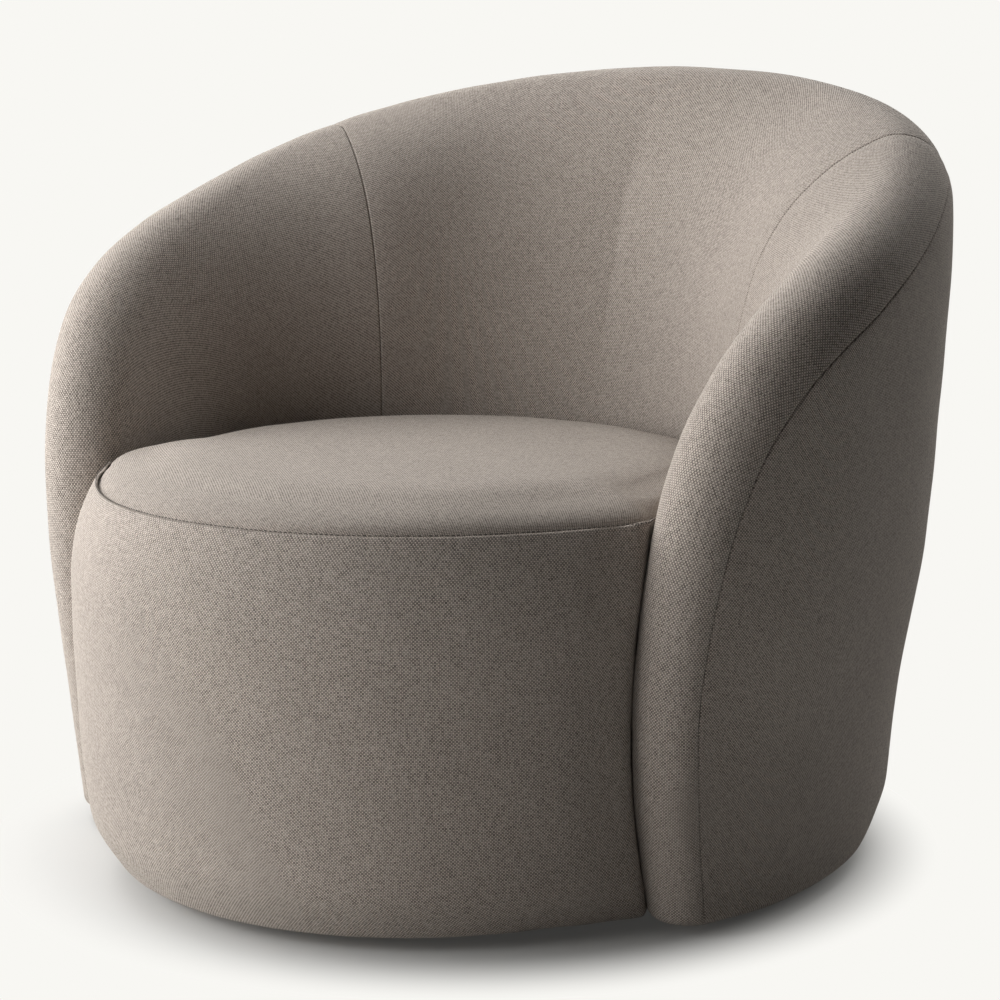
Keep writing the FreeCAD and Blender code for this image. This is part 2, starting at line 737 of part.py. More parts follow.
FIXING_AT = "Sizes.fixing_offset"
GLIDE_COUNT = 6
BALL_COUNT = 12
BOARD_SCREW_COUNT = 10
PLINTH_BOTTOM_AT = "Sizes.glide_height"
PLINTH_TOP_AT = "Sizes.glide_height + Sizes.plinth_thickness"
LOWER_PLATE_TOP_AT = PLINTH_TOP_AT + " + Sizes.plate_thickness"
SWIVEL_TOP_AT = PLINTH_TOP_AT + " + Sizes.swivel_height"
UPPER_PLATE_AT = SWIVEL_TOP_AT + " - Sizes.plate_thickness"
BALL_AT = PLINTH_TOP_AT + " + Sizes.swivel_height / 2"
BOARD_AT = SWIVEL_TOP_AT
BOARD_TOP_AT = SWIVEL_TOP_AT + " + Sizes.board_thickness"


def floor_glides():
    body = new_body("floor_glides")
    sketch = new_sketch(body, "glide_profile", "XZ_Plane")
    middle = "Sizes.glide_circle"
    edge = middle + " + Sizes.glide_radius"
    stem = middle + " + Sizes.glide_stem_radius"
    top = "Sizes.glide_height"
    stem_top = "Sizes.glide_height + Sizes.glide_stem_length"
    add_polygon(
        sketch,
        [
            (middle, "0"),
            (edge + " - Sizes.glide_height / 2", "0"),
            (edge, "Sizes.glide_height / 2"),
            (edge, top),
            (stem, top),
            (stem, stem_top),
            (middle, stem_top),
        ],
    )
    polar(body, revolve(body, sketch, middle), GLIDE_COUNT)
    return finish(body, "floor_glides")


def plinth_disc():
    body = new_body("plinth_disc")
    sketch = new_sketch(body, "plinth_outline", "XZ_Plane")
    rim = "Sizes.plinth_radius"
    add_polygon(
        sketch,
        [
            ("Sizes.hub_opening", PLINTH_BOTTOM_AT),
            (rim + " - Sizes.plinth_edge", PLINTH_BOTTOM_AT),
            (rim, PLINTH_BOTTOM_AT + " + Sizes.plinth_edge"),
            (rim, PLINTH_TOP_AT + " - Sizes.plinth_edge"),
            (rim + " - Sizes.plinth_edge", PLINTH_TOP_AT),
            ("Sizes.hub_opening", PLINTH_TOP_AT),
        ],
    )
    revolve(body, sketch)
    stems = new_sketch(body, "stem_hole", lift=PLINTH_BOTTOM_AT)
    add_circle(stems, "Sizes.glide_stem_radius + Sizes.hole_play", x="Sizes.glide_circle")
    polar(body, pocket(body, stems, "Sizes.glide_stem_length + Sizes.hole_play"), GLIDE_COUNT)
    pilots = new_sketch(body, "pilot_hole", lift=PLINTH_TOP_AT + " - Sizes.screw_length")
    add_circle(pilots, "Sizes.screw_radius + Sizes.hole_play", x=FIXING_AT, y=FIXING_AT)
    polar(body, pocket(body, pilots, "Sizes.screw_length"), 4)
    return finish(body, "plinth_disc")


def swivel_plate(node, plate_at, race_at, hole, bore):
    """Square pressed plate with a raised, grooved race and four fixing holes."""
    body = new_body(node)
    sketch = new_sketch(body, node + "_outline", lift=plate_at)
    side = "Sizes.plate_side / 2"
    inner = "Sizes.plate_side / 2 - Sizes.plate_corner"
    minus_side = "-Sizes.plate_side / 2"
    minus_inner = "-Sizes.plate_side / 2 + Sizes.plate_corner"
    add_polygon(
        sketch,
        [
            (inner, minus_side),
            (side, minus_inner),
            (side, inner),
            (inner, side),
            (minus_inner, side),
            (minus_side, inner),
            (minus_side, minus_inner),
            (minus_inner, minus_side),
        ],
    )
    pad(body, sketch, "Sizes.plate_thickness")
    race = new_sketch(body, node + "_race", "XZ_Plane")
    inside = "Sizes.race_circle - Sizes.race_half_width"
    outside = "Sizes.race_circle + Sizes.race_half_width"
    add_polygon(
        race,
        [
            (inside, race_at),
            (outside, race_at),
            (outside, race_at + " + Sizes.race_height"),
            (inside, race_at + " + Sizes.race_height"),
        ],
    )
    revolve(body, race)
    groove = new_sketch(body, node + "_groove", "XZ_Plane")
    add_circle(groove, "Sizes.ball_radius + Sizes.ball_play", x="Sizes.race_circle", y=BALL_AT)
    cut = body.newObject("PartDesign::Groove", node + "_groove_turn")
    cut.Profile = groove
    cut.ReferenceAxis = (groove, ["V_Axis"])
    cut.Angle = 360
    bores = new_sketch(body, node + "_bore", lift=plate_at)
    add_circle(bores, bore)
    pocket(body, bores, "Sizes.plate_thickness")
    holes = new_sketch(body, node + "_holes", lift=plate_at)
    add_circle(holes, hole, x=FIXING_AT, y=FIXING_AT)
    polar(body, pocket(body, holes, "Sizes.plate_thickness"), 4)
    return finish(body, node)


def pivot_rivet():
    body = new_body("pivot_rivet")
    sketch = new_sketch(body, "rivet_profile", "XZ_Plane")
    hollow = "Sizes.pivot_radius / 2"
    shank = "Sizes.pivot_radius"
    head = "Sizes.pivot_head"
    low = PLINTH_TOP_AT + " - Sizes.pivot_flange"
    high = SWIVEL_TOP_AT + " + Sizes.layer_gap"
    add_polygon(
        sketch,
        [
            (hollow, low),
            (head, low),
            (head, PLINTH_TOP_AT),
            (shank, PLINTH_TOP_AT),
            (shank, high),
            (head, high),
            (head, high + " + Sizes.pivot_flange"),
            (hollow, high + " + Sizes.pivot_flange"),
        ],
    )
    revolve(body, sketch)
    return finish(body, "pivot_rivet")


def bearing_balls():
    body = new_body("bearing_balls")
    sketch = new_sketch(body, "ball_profile", "XZ_Plane")
    place = size("race_circle")
    lift = value_of(BALL_AT)
    radius = size("ball_radius")
    centre = Vector(place, lift, 0)
    arc = Part.ArcOfCircle(Part.Circle(centre, Vector(0, 0, 1), radius), -QUARTER, QUARTER)
    sketch.addGeometry(arc, False)
    ends = (Vector(place, lift + radius, 0), Vector(place, lift - radius, 0))
    sketch.addGeometry(Part.LineSegment(*ends), False)
    sketch.addConstraint(Sketcher.Constraint("Coincident", 0, 2, 1, 1))
    sketch.addConstraint(Sketcher.Constraint("Coincident", 1, 2, 0, 1))
    sketch.addConstraint(Sketcher.Constraint("Vertical", 1))
    sketch.addConstraint(Sketcher.Constraint("PointOnObject", 0, 3, 1))
    bind(sketch, "Radius", (0,), "Sizes.ball_radius", "radius")
    bind(sketch, "DistanceX", (-1, 1, 0, 3), "Sizes.race_circle", "across")
    bind(sketch, "DistanceY", (-1, 1, 0, 3), BALL_AT, "along")
    polar(body, revolve(body, sketch, "Sizes.race_circle"), BALL_COUNT)
    return finish(body, "bearing_balls")


def ball_cage():
    body = new_body("ball_cage")
    sketch = new_sketch(body, "cage_outline", lift=BALL_AT + " - Sizes.cage_thickness / 2")
    add_circle(sketch, "Sizes.race_circle + Sizes.cage_half_width")
    add_circle(sketch, "Sizes.race_circle - Sizes.cage_half_width")
    pad(body, sketch, "Sizes.cage_thickness")
    holes = new_sketch(body, "cage_hole", lift=BALL_AT + " - Sizes.cage_thickness / 2")
    add_circle(holes, "Sizes.ball_radius + Sizes.ball_play", x="Sizes.race_circle")
    polar(body, pocket(body, holes, "Sizes.cage_thickness"), BALL_COUNT)
    return finish(body, "ball_cage")


def turned_fixings(node, profile, count, aside=None):
    """Screws, bolts or nuts turned about an upright line and set round the axis."""
    body = new_body(node)
    sketch = new_sketch(body, node + "_profile", "XZ_Plane", aside)
    middle, corners = profile
    add_polygon(sketch, corners)
    polar(body, revolve(body, sketch, middle), count)
    return finish(body, node)


def screw_profile(middle, seat, length):
    """Pan-head wood screw hanging from the level seat."""
    shank = middle + " + Sizes.screw_radius"
    head = middle + " + Sizes.screw_head_radius"
    tip = seat + " - " + length
    top = seat + " + Sizes.screw_head_height"
    return middle, [
        (middle, tip),
        (shank, tip + " + Sizes.screw_radius"),
        (shank, seat),
        (head, seat),
        (head, seat + " + Sizes.screw_head_height / 2"),
        (middle + " + Sizes.screw_head_radius / 2", top),
        (middle, top),
    ]


def bolt_profile():
    middle = FIXING_AT
    shank = middle + " + Sizes.bolt_radius"
    head = middle + " + Sizes.bolt_head_radius"
    tip = BOARD_TOP_AT + " + Sizes.bolt_tail"
    low = UPPER_PLATE_AT + " - Sizes.bolt_head_height"
    return middle, [
        (middle, low),
        (head, low),
        (head, UPPER_PLATE_AT),
        (shank, UPPER_PLATE_AT),
        (shank, tip),
        (middle, tip),
    ]


def tee_nut_profile():
    bore = FIXING_AT + " + Sizes.bolt_radius + Sizes.ball_play"
    barrel = FIXING_AT + " + Sizes.tee_barrel_radius"
    flange = FIXING_AT + " + Sizes.tee_flange_radius"
    low = BOARD_TOP_AT + " - Sizes.tee_barrel"
    high = BOARD_TOP_AT + " + Sizes.tee_flange"
    return FIXING_AT, [
        (bore, low),
        (barrel, low),
        (barrel, BOARD_TOP_AT),
        (flange, BOARD_TOP_AT),
        (flange, high),
        (bore, high),
    ]


def swivel_board():
    body = new_body("swivel_board")
    sketch = new_sketch(body, "board_outline", lift=BOARD_AT)
    add_circle(sketch, "Sizes.board_radius")
    add_circle(sketch, "Sizes.hub_opening")
    pad(body, sketch, "Sizes.board_thickness")
    nuts = new_sketch(body, "tee_hole", lift=BOARD_AT)
    barrel = "Sizes.tee_barrel_radius + Sizes.hole_play"
    add_circle(nuts, barrel, x=FIXING_AT, y=FIXING_AT)
    polar(body, pocket(body, nuts, "Sizes.board_thickness"), 4)
    screws = new_sketch(body, "board_screw_hole", lift=BOARD_AT)
    add_circle(screws, "Sizes.screw_radius + Sizes.hole_play", x="Sizes.board_screw_circle")
    polar(body, pocket(body, screws, "Sizes.board_thickness"), BOARD_SCREW_COUNT)
    return finish(body, "swivel_board")


# Wooden frame

# where the plan of the back and arms starts, as a share of a quarter turn, and its points
OUTLINE_START_SHARE = -0.24
OUTLINE_COUNT = 22
FRONT_DEGREES = tuple(range(12, 169, 6))


def shell_outline(z, inset):
    """Closed plan of the back and arms, chopped straight across between the arm fronts."""
    points = []
    for i in range(OUTLINE_COUNT + 1):
        turn = QUARTER * (OUTLINE_START_SHARE + (2 - 2 * OUTLINE_START_SHARE) * i / OUTLINE_COUNT)
        mirror = turn > QUARTER
        point = shell_point(2 * QUARTER - turn if mirror else turn, z, inset)
        points.append(Vector(-point.x if mirror else point.x, point.y, 0))
    curve = Part.BSplineCurve()
    curve.interpolate(Points=points)
    return curve, points[0], points[-1]


def front_outline(z, inset):
    """Plan of the rounded seat front, chopped straight across behind the arm fronts."""
    power = 2 / DRUM_SQUARENESS
    half_width = DRUM_HALF_WIDTH + wall_stand_out(z) - inset
    front = size("drum_front") + wall_stand_out(z) - inset
    points = []
    for degrees in FRONT_DEGREES:
        sweep = math.radians(degrees)
        across = math.copysign(abs(math.cos(sweep)) ** power, math.cos(sweep))
        along = size("drum_centre") - front * math.sin(sweep) ** power
        points.append(Vector(half_width * across, along, 0))
    curve = Part.BSplineCurve()
    curve.interpolate(Points=points)
    return curve, points[0], points[-1]


def footprint(name, z, inset, lift, thickness):
    """Board or cloth under the whole chair, with lobes under the arm fronts, open round the plinth."""
    foot = RIM.valueAt(RIM.FirstParameter)
    halves = []
    for part_name, side in (("right", 1), ("left", -1)):
        lobe = doc.addObject("Part::Cylinder", f"{name}_{part_name}_lobe")
        lobe.Radius = roll_radius_at(foot.z) - inset
        lobe.setExpression("Height", thickness)
        lobe.setExpression("Placement.Base.z", lift)
        lobe.Placement.Base.x = side * foot.x
        lobe.Placement.Base.y = foot.y - size("plan_setforward")
        halves.append(lobe)
    for part_name, outline in (("front", front_outline), ("back", shell_outline)):
        curve, start, end = outline(z, inset)
        body = new_body(f"{name}_{part_name}")
        sketch = new_sketch(body, f"{name}_{part_name}_outline", lift=lift)
        sketch.addGeometry(curve, False)
        sketch.addGeometry(Part.LineSegment(end, start), False)
        pad(body, sketch, thickness)
        halves.append(set_forward(body))
    joined = doc.addObject("Part::MultiFuse", name + "_blank")
    joined.Shapes = halves
    opening = doc.addObject("Part::Cylinder", name + "_opening")
    opening.setExpression("Radius", "Sizes.ring_opening")
    opening.setExpression("Height", thickness)
    opening.setExpression("Placement.Base.z", lift)
    return boolean("Part::Cut", name + "_open", joined, opening)


def base_ring():
    """Plywood ring under the whole chair, open round the plinth."""
    ring = footprint("ring", RING_BOTTOM, size("ring_inset"), PLINTH_TOP_AT, "Sizes.board_thickness")
    pilots = new_body("ring_pilots")
    pilot = new_sketch(pilots, "ring_pilot", lift=PLINTH_TOP_AT)
    add_circle(pilot, "Sizes.screw_radius + Sizes.hole_play", x="Sizes.board_screw_circle")
    polar(pilots, pad(pilots, pilot, "Sizes.board_thickness"), BOARD_SCREW_COUNT)
    return finish(boolean("Part::Cut", "base_ring", ring, pilots), "base_ring")


def dust_cover():
    """Thin cloth stapled to the underside of the ring."""
    drop = PLINTH_TOP_AT + " - Sizes.dust_cover_thickness"
    edge = size("ring_inset") + size("staple_margin")
    return finish(footprint("dust", RING_BOTTOM, edge, drop, "Sizes.dust_cover_thickness"), "dust_cover")


SEAT_INSET = FOAM_OUTSIDE + size("band_foam") + size("band_board") + 2 * GAP
RAIL_BOTTOM = size("rail_top") - size("rail_thickness")
RAIL_BOTTOM_AT = "Sizes.rail_top - Sizes.rail_thickness"


def ellipse_curve(half_width, front, rear):
    """Ellipse between a front and a rear reach from the plan centre."""
    middle = (rear - front) / 2
    return Part.Ellipse(Vector(0, rear, 0), Vector(half_width, middle, 0), Vector(0, middle, 0))


RAIL_INSET = SEAT_INSET + size("seat_play")
OPENING_HALF_WIDTH = TUCK_HALF_WIDTH - RAIL_INSET - size("rail_width")


def seat_rail():
    body = new_body("seat_rail")
    sketch = new_sketch(body, "rail_outline", lift=RAIL_BOTTOM_AT)
    sketch.addGeometry(rail_curve(RAIL_INSET), False)
    opening = ellipse_curve(OPENING_HALF_WIDTH, size("rail_opening_front"), size("rail_opening_rear"))
    sketch.addGeometry(opening, False)
    pad(body, sketch, "Sizes.rail_thickness")
    return finish(set_forward(body), "seat_rail")


def under_rail(turn):
    """Place and heading for a post under the seat rail, in the direction turn from the plan centre."""
    line = rail_curve(RAIL_INSET + size("upright_inset")).toShape()
    ray = Part.makeLine(Vector(0, 0, 0), Vector(math.cos(turn), math.sin(turn), 0) * size("overall_width"))
    near = line.distToShape(ray)[1][0][0]
    heading = line.Curve.tangent(line.Curve.parameter(near))[0]
    return near - Vector(0, size("plan_setforward"), 0), math.degrees(math.atan2(heading.y, heading.x))


UPRIGHT_TURNS = (-90, -58, -122, 35, 145, 90)


def seat_uprights():
    """Posts under the seat rail, on the base ring where they are clear of the swivel board."""
    for number, degrees in enumerate(UPRIGHT_TURNS, start=1):
        place, heading = under_rail(math.radians(degrees))
        node = f"seat_upright_{number}"
        post = doc.addObject("Part::Box", node)
        post.setExpression("Length", "Sizes.upright_width")
        post.setExpression("Width", "Sizes.upright_depth")
        foot = BOARD_TOP if math.hypot(place.x, place.y) < size("board_radius") else RING_TOP
        post.Height = RAIL_BOTTOM - foot
        turn = Rotation(Vector(0, 0, 1), heading)
        half = Vector(size("upright_width") / 2, size("upright_depth") / 2, 0)
        post.Placement = Placement(Vector(place.x, place.y, foot) - turn.multVec(half), turn)
        finish(post, node)


WEBBING_STEPS = (-2, -1, 0, 1, 2)


def seat_webbing():
    """Elastic bands stretched over the seat rail, front to back and then side to side."""
    grip = size("webbing_grip")
    thickness = size("webbing_thickness")
    half_width = OPENING_HALF_WIDTH
    front, rear = size("rail_opening_front"), size("rail_opening_rear")
    middle, reach = (rear - front) / 2, (front + rear) / 2
    forward = size("plan_setforward")
    lengthwise = []
    for step in WEBBING_STEPS:
        x = step * size("webbing_pitch")
        half = reach * math.sqrt(1 - (x / half_width) ** 2) + grip
        band = doc.addObject("Part::Box", f"long_band_{step + 2}")
        band.setExpression("Length", "Sizes.webbing_width")
        band.Width = 2 * half
        band.setExpression("Height", "Sizes.webbing_thickness")
        left = x - size("webbing_width") / 2
        band.Placement.Base = Vector(left, middle - half - forward, size("rail_top"))
        lengthwise.append(band)
    group("seat_webbing_lengthwise", lengthwise)
    crosswise = []
    for step in WEBBING_STEPS:
        y = step * size("webbing_pitch")
        half = half_width * math.sqrt(1 - (y / reach) ** 2) + grip
        band = doc.addObject("Part::Box", f"cross_band_{step + 2}")
        band.Length = 2 * half
        band.setExpression("Width", "Sizes.webbing_width")
        band.setExpression("Height", "Sizes.webbing_thickness")
        lift = size("rail_top") + thickness
        band.Placement.Base = Vector(-half, middle + y - size("webbing_width") / 2 - forward, lift)
        crosswise.append(band)
    group("seat_webbing_crosswise", crosswise)


# Soft parts of the seat

DECK_AT = size("rail_top") + 2 * size("webbing_thickness")
DECK_TOP = DECK_AT + size("deck_pad")
FOAM_LEVEL_SHARES = (0, 0.25, 0.5, 0.75, 0.9, 1)
CROWN_STEPS = (1, 0.97, 0.92, 0.84, 0.7, 0.5, 0.26, 0.06)


def crown(inset, base, rise):
    """Domed cap over the seat outline."""
    curves = []
    for shrink in CROWN_STEPS:
        z = base + rise * (1 - shrink ** CROWN_FULLNESS)
        curves.append(drum_curve(inset, z, shrink, wall_stand_out(base)))
    return stacked(curves)


def seat_soft_parts():
    deck = new_body("deck_felt")
    felt = new_sketch(deck, "deck_felt_outline", lift="Sizes.rail_top + Sizes.webbing_thickness * 2")
    felt.addGeometry(rail_curve(RAIL_INSET), False)
    pad(deck, felt, "Sizes.deck_pad")
    finish(set_forward(deck), "deck_felt")
    dome = crown(0, SEAM, size("seat_crown"))
    shaped("seat_top_cover", dome.cut(crown(COVER, SEAM, size("seat_crown") - COVER)))
    foam_inset = COVER + size("seat_play")
    high = SEAM - GAP
    levels = [DECK_TOP + (high - DECK_TOP) * share for share in FOAM_LEVEL_SHARES]
    block = stacked([drum_curve(foam_inset, z, 1, wall_stand_out(z)) for z in levels])
    shaped("seat_foam", block.fuse(crown(foam_inset, high, size("seat_crown") - COVER)))
    hidden = Part.makeBox(2 * HEIGHT, HEIGHT, RING_CLEAR, Vector(-HEIGHT, ARM_ROLL.y - ARM_ROLL_RADIUS, 0))
    shaped("seat_band_cover", band_layer(0, 0, COVER).cut(hidden))
    foam_in = FOAM_OUTSIDE + size("band_foam")
    board_out = foam_in + GAP
    over = Part.makeBox(2 * HEIGHT, 2 * HEIGHT, HEIGHT, Vector(-HEIGHT, -HEIGHT, DECK_TOP - GAP))
    shaped("seat_band_foam", band_layer(BAND_FOOT_ROW, FOAM_OUTSIDE, foam_in).cut(over))
    board = band_layer(BAND_FOOT_ROW, board_out, board_out + size("band_board"))
    shaped("seat_band_board", board.cut(over))


# Covers, foam and boards of the back and arms


STRAP_OUTSIDE = FOAM_INSIDE + GAP
STRAP_INSIDE = STRAP_OUTSIDE + size("webbing_thickness")
STRAP_SHARES = (("back_strap_upper", 0.2, 0.4), ("back_strap_lower", 0.6, 0.8))


def arm_panel(node, first, last, stretches, side):
    """Front and inside cover of an arm, turned in above the base ring inside the arm."""
    foot = RIM.valueAt(RIM.FirstParameter)
    reach = TUB_HALF_WIDTH / 2
    below = Part.makeBox(reach, reach, RING_CLEAR, Vector(foot.x - reach, foot.y - size("ring_inset"), 0))
    if side < 0:
        below = below.mirror(Vector(0, 0, 0), Vector(1, 0, 0))
    shaped(node, layer(SHELL, first, last, stretches, 0, COVER).cut(below))


def shell_layers():
    outside = ("outside", 0, len(OUTSIDE_SHARES) - 1)
    inside = ("inside", 0, len(INSIDE_SHARES) - 1)
    round_end = len(ROUND_SHARES) - 1
    below = [outside, ("roll", 0, ROUND_SHARES.index(BELOW_SEAM_SHARE))]
    above = [("roll", ROUND_SHARES.index(ABOVE_SEAM_SHARE), round_end), inside]
    seam = SECTION_SHARES.index(INNER_SEAM_SHARE)
    back = len(HALF) - 1
    end = len(WHOLE) - 1
    shaped("outside_cover_right", layer(SHELL, 0, back, below, 0, COVER))
    shaped("outside_cover_left", layer(SHELL, back, end, below, 0, COVER))
    arm_panel("arm_panel_right", 0, seam, above, 1)
    arm_panel("arm_panel_left", end - seam, end, above, -1)
    shaped("inside_back_cover", layer(SHELL, seam, end - seam, above, 0, COVER))
    foam = layer(SHELL, 0, end, [("roll", 0, round_end), inside], FOAM_OUTSIDE, FOAM_INSIDE)
    width = size("overall_width")
    floor_block = Part.makeBox(width, width, RING_CLEAR, Vector(-width / 2, -width / 2, 0))
    shaped("roll_foam", foam.cut(floor_block))
    board = layer(SHELL, 0, end, [("outside", 0, len(OUTSIDE_SHARES) - 2)], FOAM_OUTSIDE, BOARD_INSIDE)
    shaped("outside_board", board.cut(floor_block))
    first = SECTION_SHARES.index(STRAP_START_SHARE)
    for node, upper, lower in STRAP_SHARES:
        band = [("inside", INSIDE_SHARES.index(upper), INSIDE_SHARES.index(lower))]
        shaped(node, layer(SHELL, first, end - first, band, STRAP_OUTSIDE, STRAP_INSIDE))


def rail_rise(radius):
    """How far the bent rail's top stands above the middle of the roll, under the foam."""
    return math.sqrt((radius - FOAM_INSIDE - size("frame_play")) ** 2 - (size("rail_stock") / 2) ** 2)


def rail_section(share):
    """Corners of the bent rail across the rim, under the roll's foam."""
    place = RIM.getParameterByLength(RIM.Length / 2 * share)
    centre = RIM.valueAt(place)
    along = RIM.tangentAt(place)
    out = shell_normal(math.atan2(centre.y, centre.x), centre.z, roll_radius_at(centre.z))
    out = (out - along * out.dot(along)).normalize()
    down = along.cross(out).normalize()
    half = size("rail_stock") / 2
    rise = rail_rise(roll_radius_at(centre.z))
    fall = size("rail_depth") - rise
    corners = [(half, -rise), (-half, -rise), (-half, fall), (half, fall)]
    return [centre + out * across + down * drop for across, drop in corners]


def bent_rail(sections):
    return Part.makeLoft([Part.makePolygon(corners + corners[:1]) for corners in sections], True, False)


FOOT_SHARE = 0.03
ARM_FRAME_SHARES = (0.11, 0.18, 0.25, 0.32, 0.38, 0.44, 0.51, 0.58)
TOP_RAIL_SHARES = (0.58, 0.64, 0.70, 0.77, 0.85, 0.92, 1)


def rim_frame():
    """Bent plywood rails under the rim: one up each arm, one round the back."""
    foot = [Vector(corner.x, corner.y, RING_TOP) for corner in rail_section(FOOT_SHARE)]
    arm = [foot] + [rail_section(share) for share in ARM_FRAME_SHARES]
    shaped("arm_frame_right", bent_rail(arm))
    shaped("arm_frame_left", bent_rail([[mirrored(corner) for corner in corners] for corners in arm]))
    back = [rail_section(share) for share in TOP_RAIL_SHARES]
    other_side = [[mirrored(corner) for corner in corners] for corners in reversed(back[:-1])]
    shaped("top_rail", bent_rail(back + other_side))


HOOP_TOP = size("hoop_top")
HOOP_BOTTOM = HOOP_TOP - size("board_thickness")
HOOP_GROWTH = STRAP_INSIDE + GAP + size("hoop_play")
HOOP_DEGREES = tuple(range(12, 169, 12))


def hoop_curve(growth):
    """Curve of the hoop behind the inside back, from one arm round to the other."""
    points = []
    for degrees in HOOP_DEGREES:
        turn = math.radians(degrees)
        across = (TUB_HALF_WIDTH + growth) * math.cos(turn)
        along = (size("tub_depth") + growth) * math.sin(turn) - size("tub_setforward")
        points.append(Vector(across, along, 0))
    curve = Part.BSplineCurve()
    curve.interpolate(Points=points)
    return curve, points[0], points[-1]


def back_hoop():
    """Plywood hoop that the lower edge of the inside back is fixed to."""
    body = new_body("back_hoop")
    sketch = new_sketch(body, "hoop_outline", lift="Sizes.hoop_top - Sizes.board_thickness")
    inner, inner_start, inner_end = hoop_curve(HOOP_GROWTH)
    outer, outer_start, outer_end = hoop_curve(HOOP_GROWTH + size("hoop_width"))
    sketch.addGeometry(inner, False)
    sketch.addGeometry(Part.LineSegment(inner_end, outer_end), False)
    sketch.addGeometry(outer, False)
    sketch.addGeometry(Part.LineSegment(outer_start, inner_start), False)
    pad(body, sketch, "Sizes.board_thickness")
    finish(set_forward(body), "back_hoop")


def hoop_reach(turn, growth):
    """Distance from the plan centre to the hoop's curve, in the direction turn."""
    across = (math.cos(turn) / (TUB_HALF_WIDTH + growth)) ** 2
    depth = size("tub_depth") + growth
    along = (math.sin(turn) / depth) ** 2
    forward = size("tub_setforward") / depth
    linear = forward * math.sin(turn) / depth
    return (math.sqrt(linear ** 2 + (across + along) * (1 - forward ** 2)) - linear) / (across + along)


def board_reach(turn):
    """Distance from the plan centre to the swivel board's edge, in the direction turn."""
    forward = size("plan_setforward")
    radius = size("board_radius") + GAP
    return math.sqrt(radius ** 2 - (forward * math.cos(turn)) ** 2) + forward * math.sin(turn)


PROFILE_POINT_COUNT = 60
RIM_STEP_COUNT = 120


def cut_profile(face, turn, heights, nearest):
    """Distance and height of points on a face along a rib, at its side that comes nearest."""
    heading = Vector(math.cos(turn), math.sin(turn), 0)
    side = Vector(-heading.y, heading.x, 0)
    half = size("rib_thickness") / 2
    reaches = []
    for offset in (-half, 0, half):
        points = []
        for wire in face.slice(side, offset):
            points += wire.discretize(Number=PROFILE_POINT_COUNT)
        points = [point for point in points if point.dot(heading) > 0]
        points.sort(key=lambda point: point.z)
        levels = [point.z for point in points]
        reach = []
        for z in heights:
            i = min(max(1, sum(level < z for level in levels)), len(levels) - 1)
            low, high = points[i - 1], points[i]
            blend = (z - low.z) / (high.z - low.z)
            reach.append((low + (high - low) * blend).dot(heading))
        reaches.append(reach)
    return [Vector(nearest(distances), z, 0) for distances, z in zip(zip(*reaches), heights)]


def rail_floor(turn, floors):
    """Lowest point of the rim's rail over a rib in the direction turn."""
    heading = Vector(math.cos(turn), math.sin(turn), 0)
    side = Vector(-heading.y, heading.x, 0)
    half = size("rib_thickness")
    return min(point.z for point in floors if point.dot(heading) > 0 and abs(point.dot(side)) < half)


RIB_DEGREES = (90, 64, 116, 40, 140, 16, 164)
RIB_OUTER_SHARES = (0, 0.02, 0.05, 0.09, 0.14, 0.2, 0.3, 0.45, 0.6, 0.75, 0.88, 1)
RIB_INNER_SHARES = (0, 0.25, 0.5, 0.75, 1)


def back_ribs():
    """Plywood ribs between the base ring and the rim's rail, notched for the board and the hoop."""
    play = size("frame_play")
    outside = inset_surface(SHELL, "outside", BOARD_INSIDE + play).toShape()
    inside = inset_surface(SHELL, "inside", STRAP_INSIDE + play).toShape()
    start = ARM_FRAME_SHARES[0]
    steps = [start + 2 * (1 - start) * step / RIM_STEP_COUNT for step in range(RIM_STEP_COUNT + 1)]
    floors = [corner for share in steps for corner in rail_section(share)[2:]]
    for number, degrees in enumerate(RIB_DEGREES, start=1):
        turn = math.radians(degrees)
        top = rail_floor(turn, floors) - play
        ledge = hoop_reach(turn, HOOP_GROWTH)
        notch = hoop_reach(turn, HOOP_GROWTH + size("hoop_width")) + GAP
        board_edge = board_reach(turn)
        over_hoop = HOOP_TOP + GAP
        outer_levels = [RING_TOP + share * (top - RING_TOP) for share in RIB_OUTER_SHARES]
        inner_levels = [top - share * (top - over_hoop) for share in RIB_INNER_SHARES]
        outer = cut_profile(outside, turn, outer_levels, min)
        inner = cut_profile(inside, turn, inner_levels, max)
        foot = [Vector(ledge, RING_TOP, 0)]
        if ledge < board_edge:
            foot = [(ledge, BOARD_TOP), (board_edge, BOARD_TOP), (board_edge, RING_TOP)]
            foot = [Vector(x, z, 0) for x, z in foot]
        corners = [inner[-1], Vector(notch, over_hoop, 0), Vector(notch, HOOP_BOTTOM, 0)]
        corners += [Vector(ledge, HOOP_BOTTOM, 0)] + foot + [outer[0]]
        node = f"back_rib_{number}"
        body = new_body(node)
        sketch = new_sketch(body, node + "_outline", "XZ_Plane")
        for points in (outer, inner):
            curve = Part.BSplineCurve()
            curve.interpolate(Points=points)
            sketch.addGeometry(curve, False)
        sketch.addGeometry(Part.LineSegment(outer[-1], inner[0]), False)
        for start, end in zip(corners, corners[1:]):
            sketch.addGeometry(Part.LineSegment(start, end), False)
        pad(body, sketch, "Sizes.rib_thickness")
        heading = Vector(math.cos(turn), math.sin(turn), 0)
        aside = Vector(-heading.y, heading.x, 0) * (size("rib_thickness") / 2)
        forward = Vector(0, -size("plan_setforward"), 0)
        body.Placement = Placement(aside + forward, Rotation(Vector(0, 0, 1), degrees))
        finish(body, node)


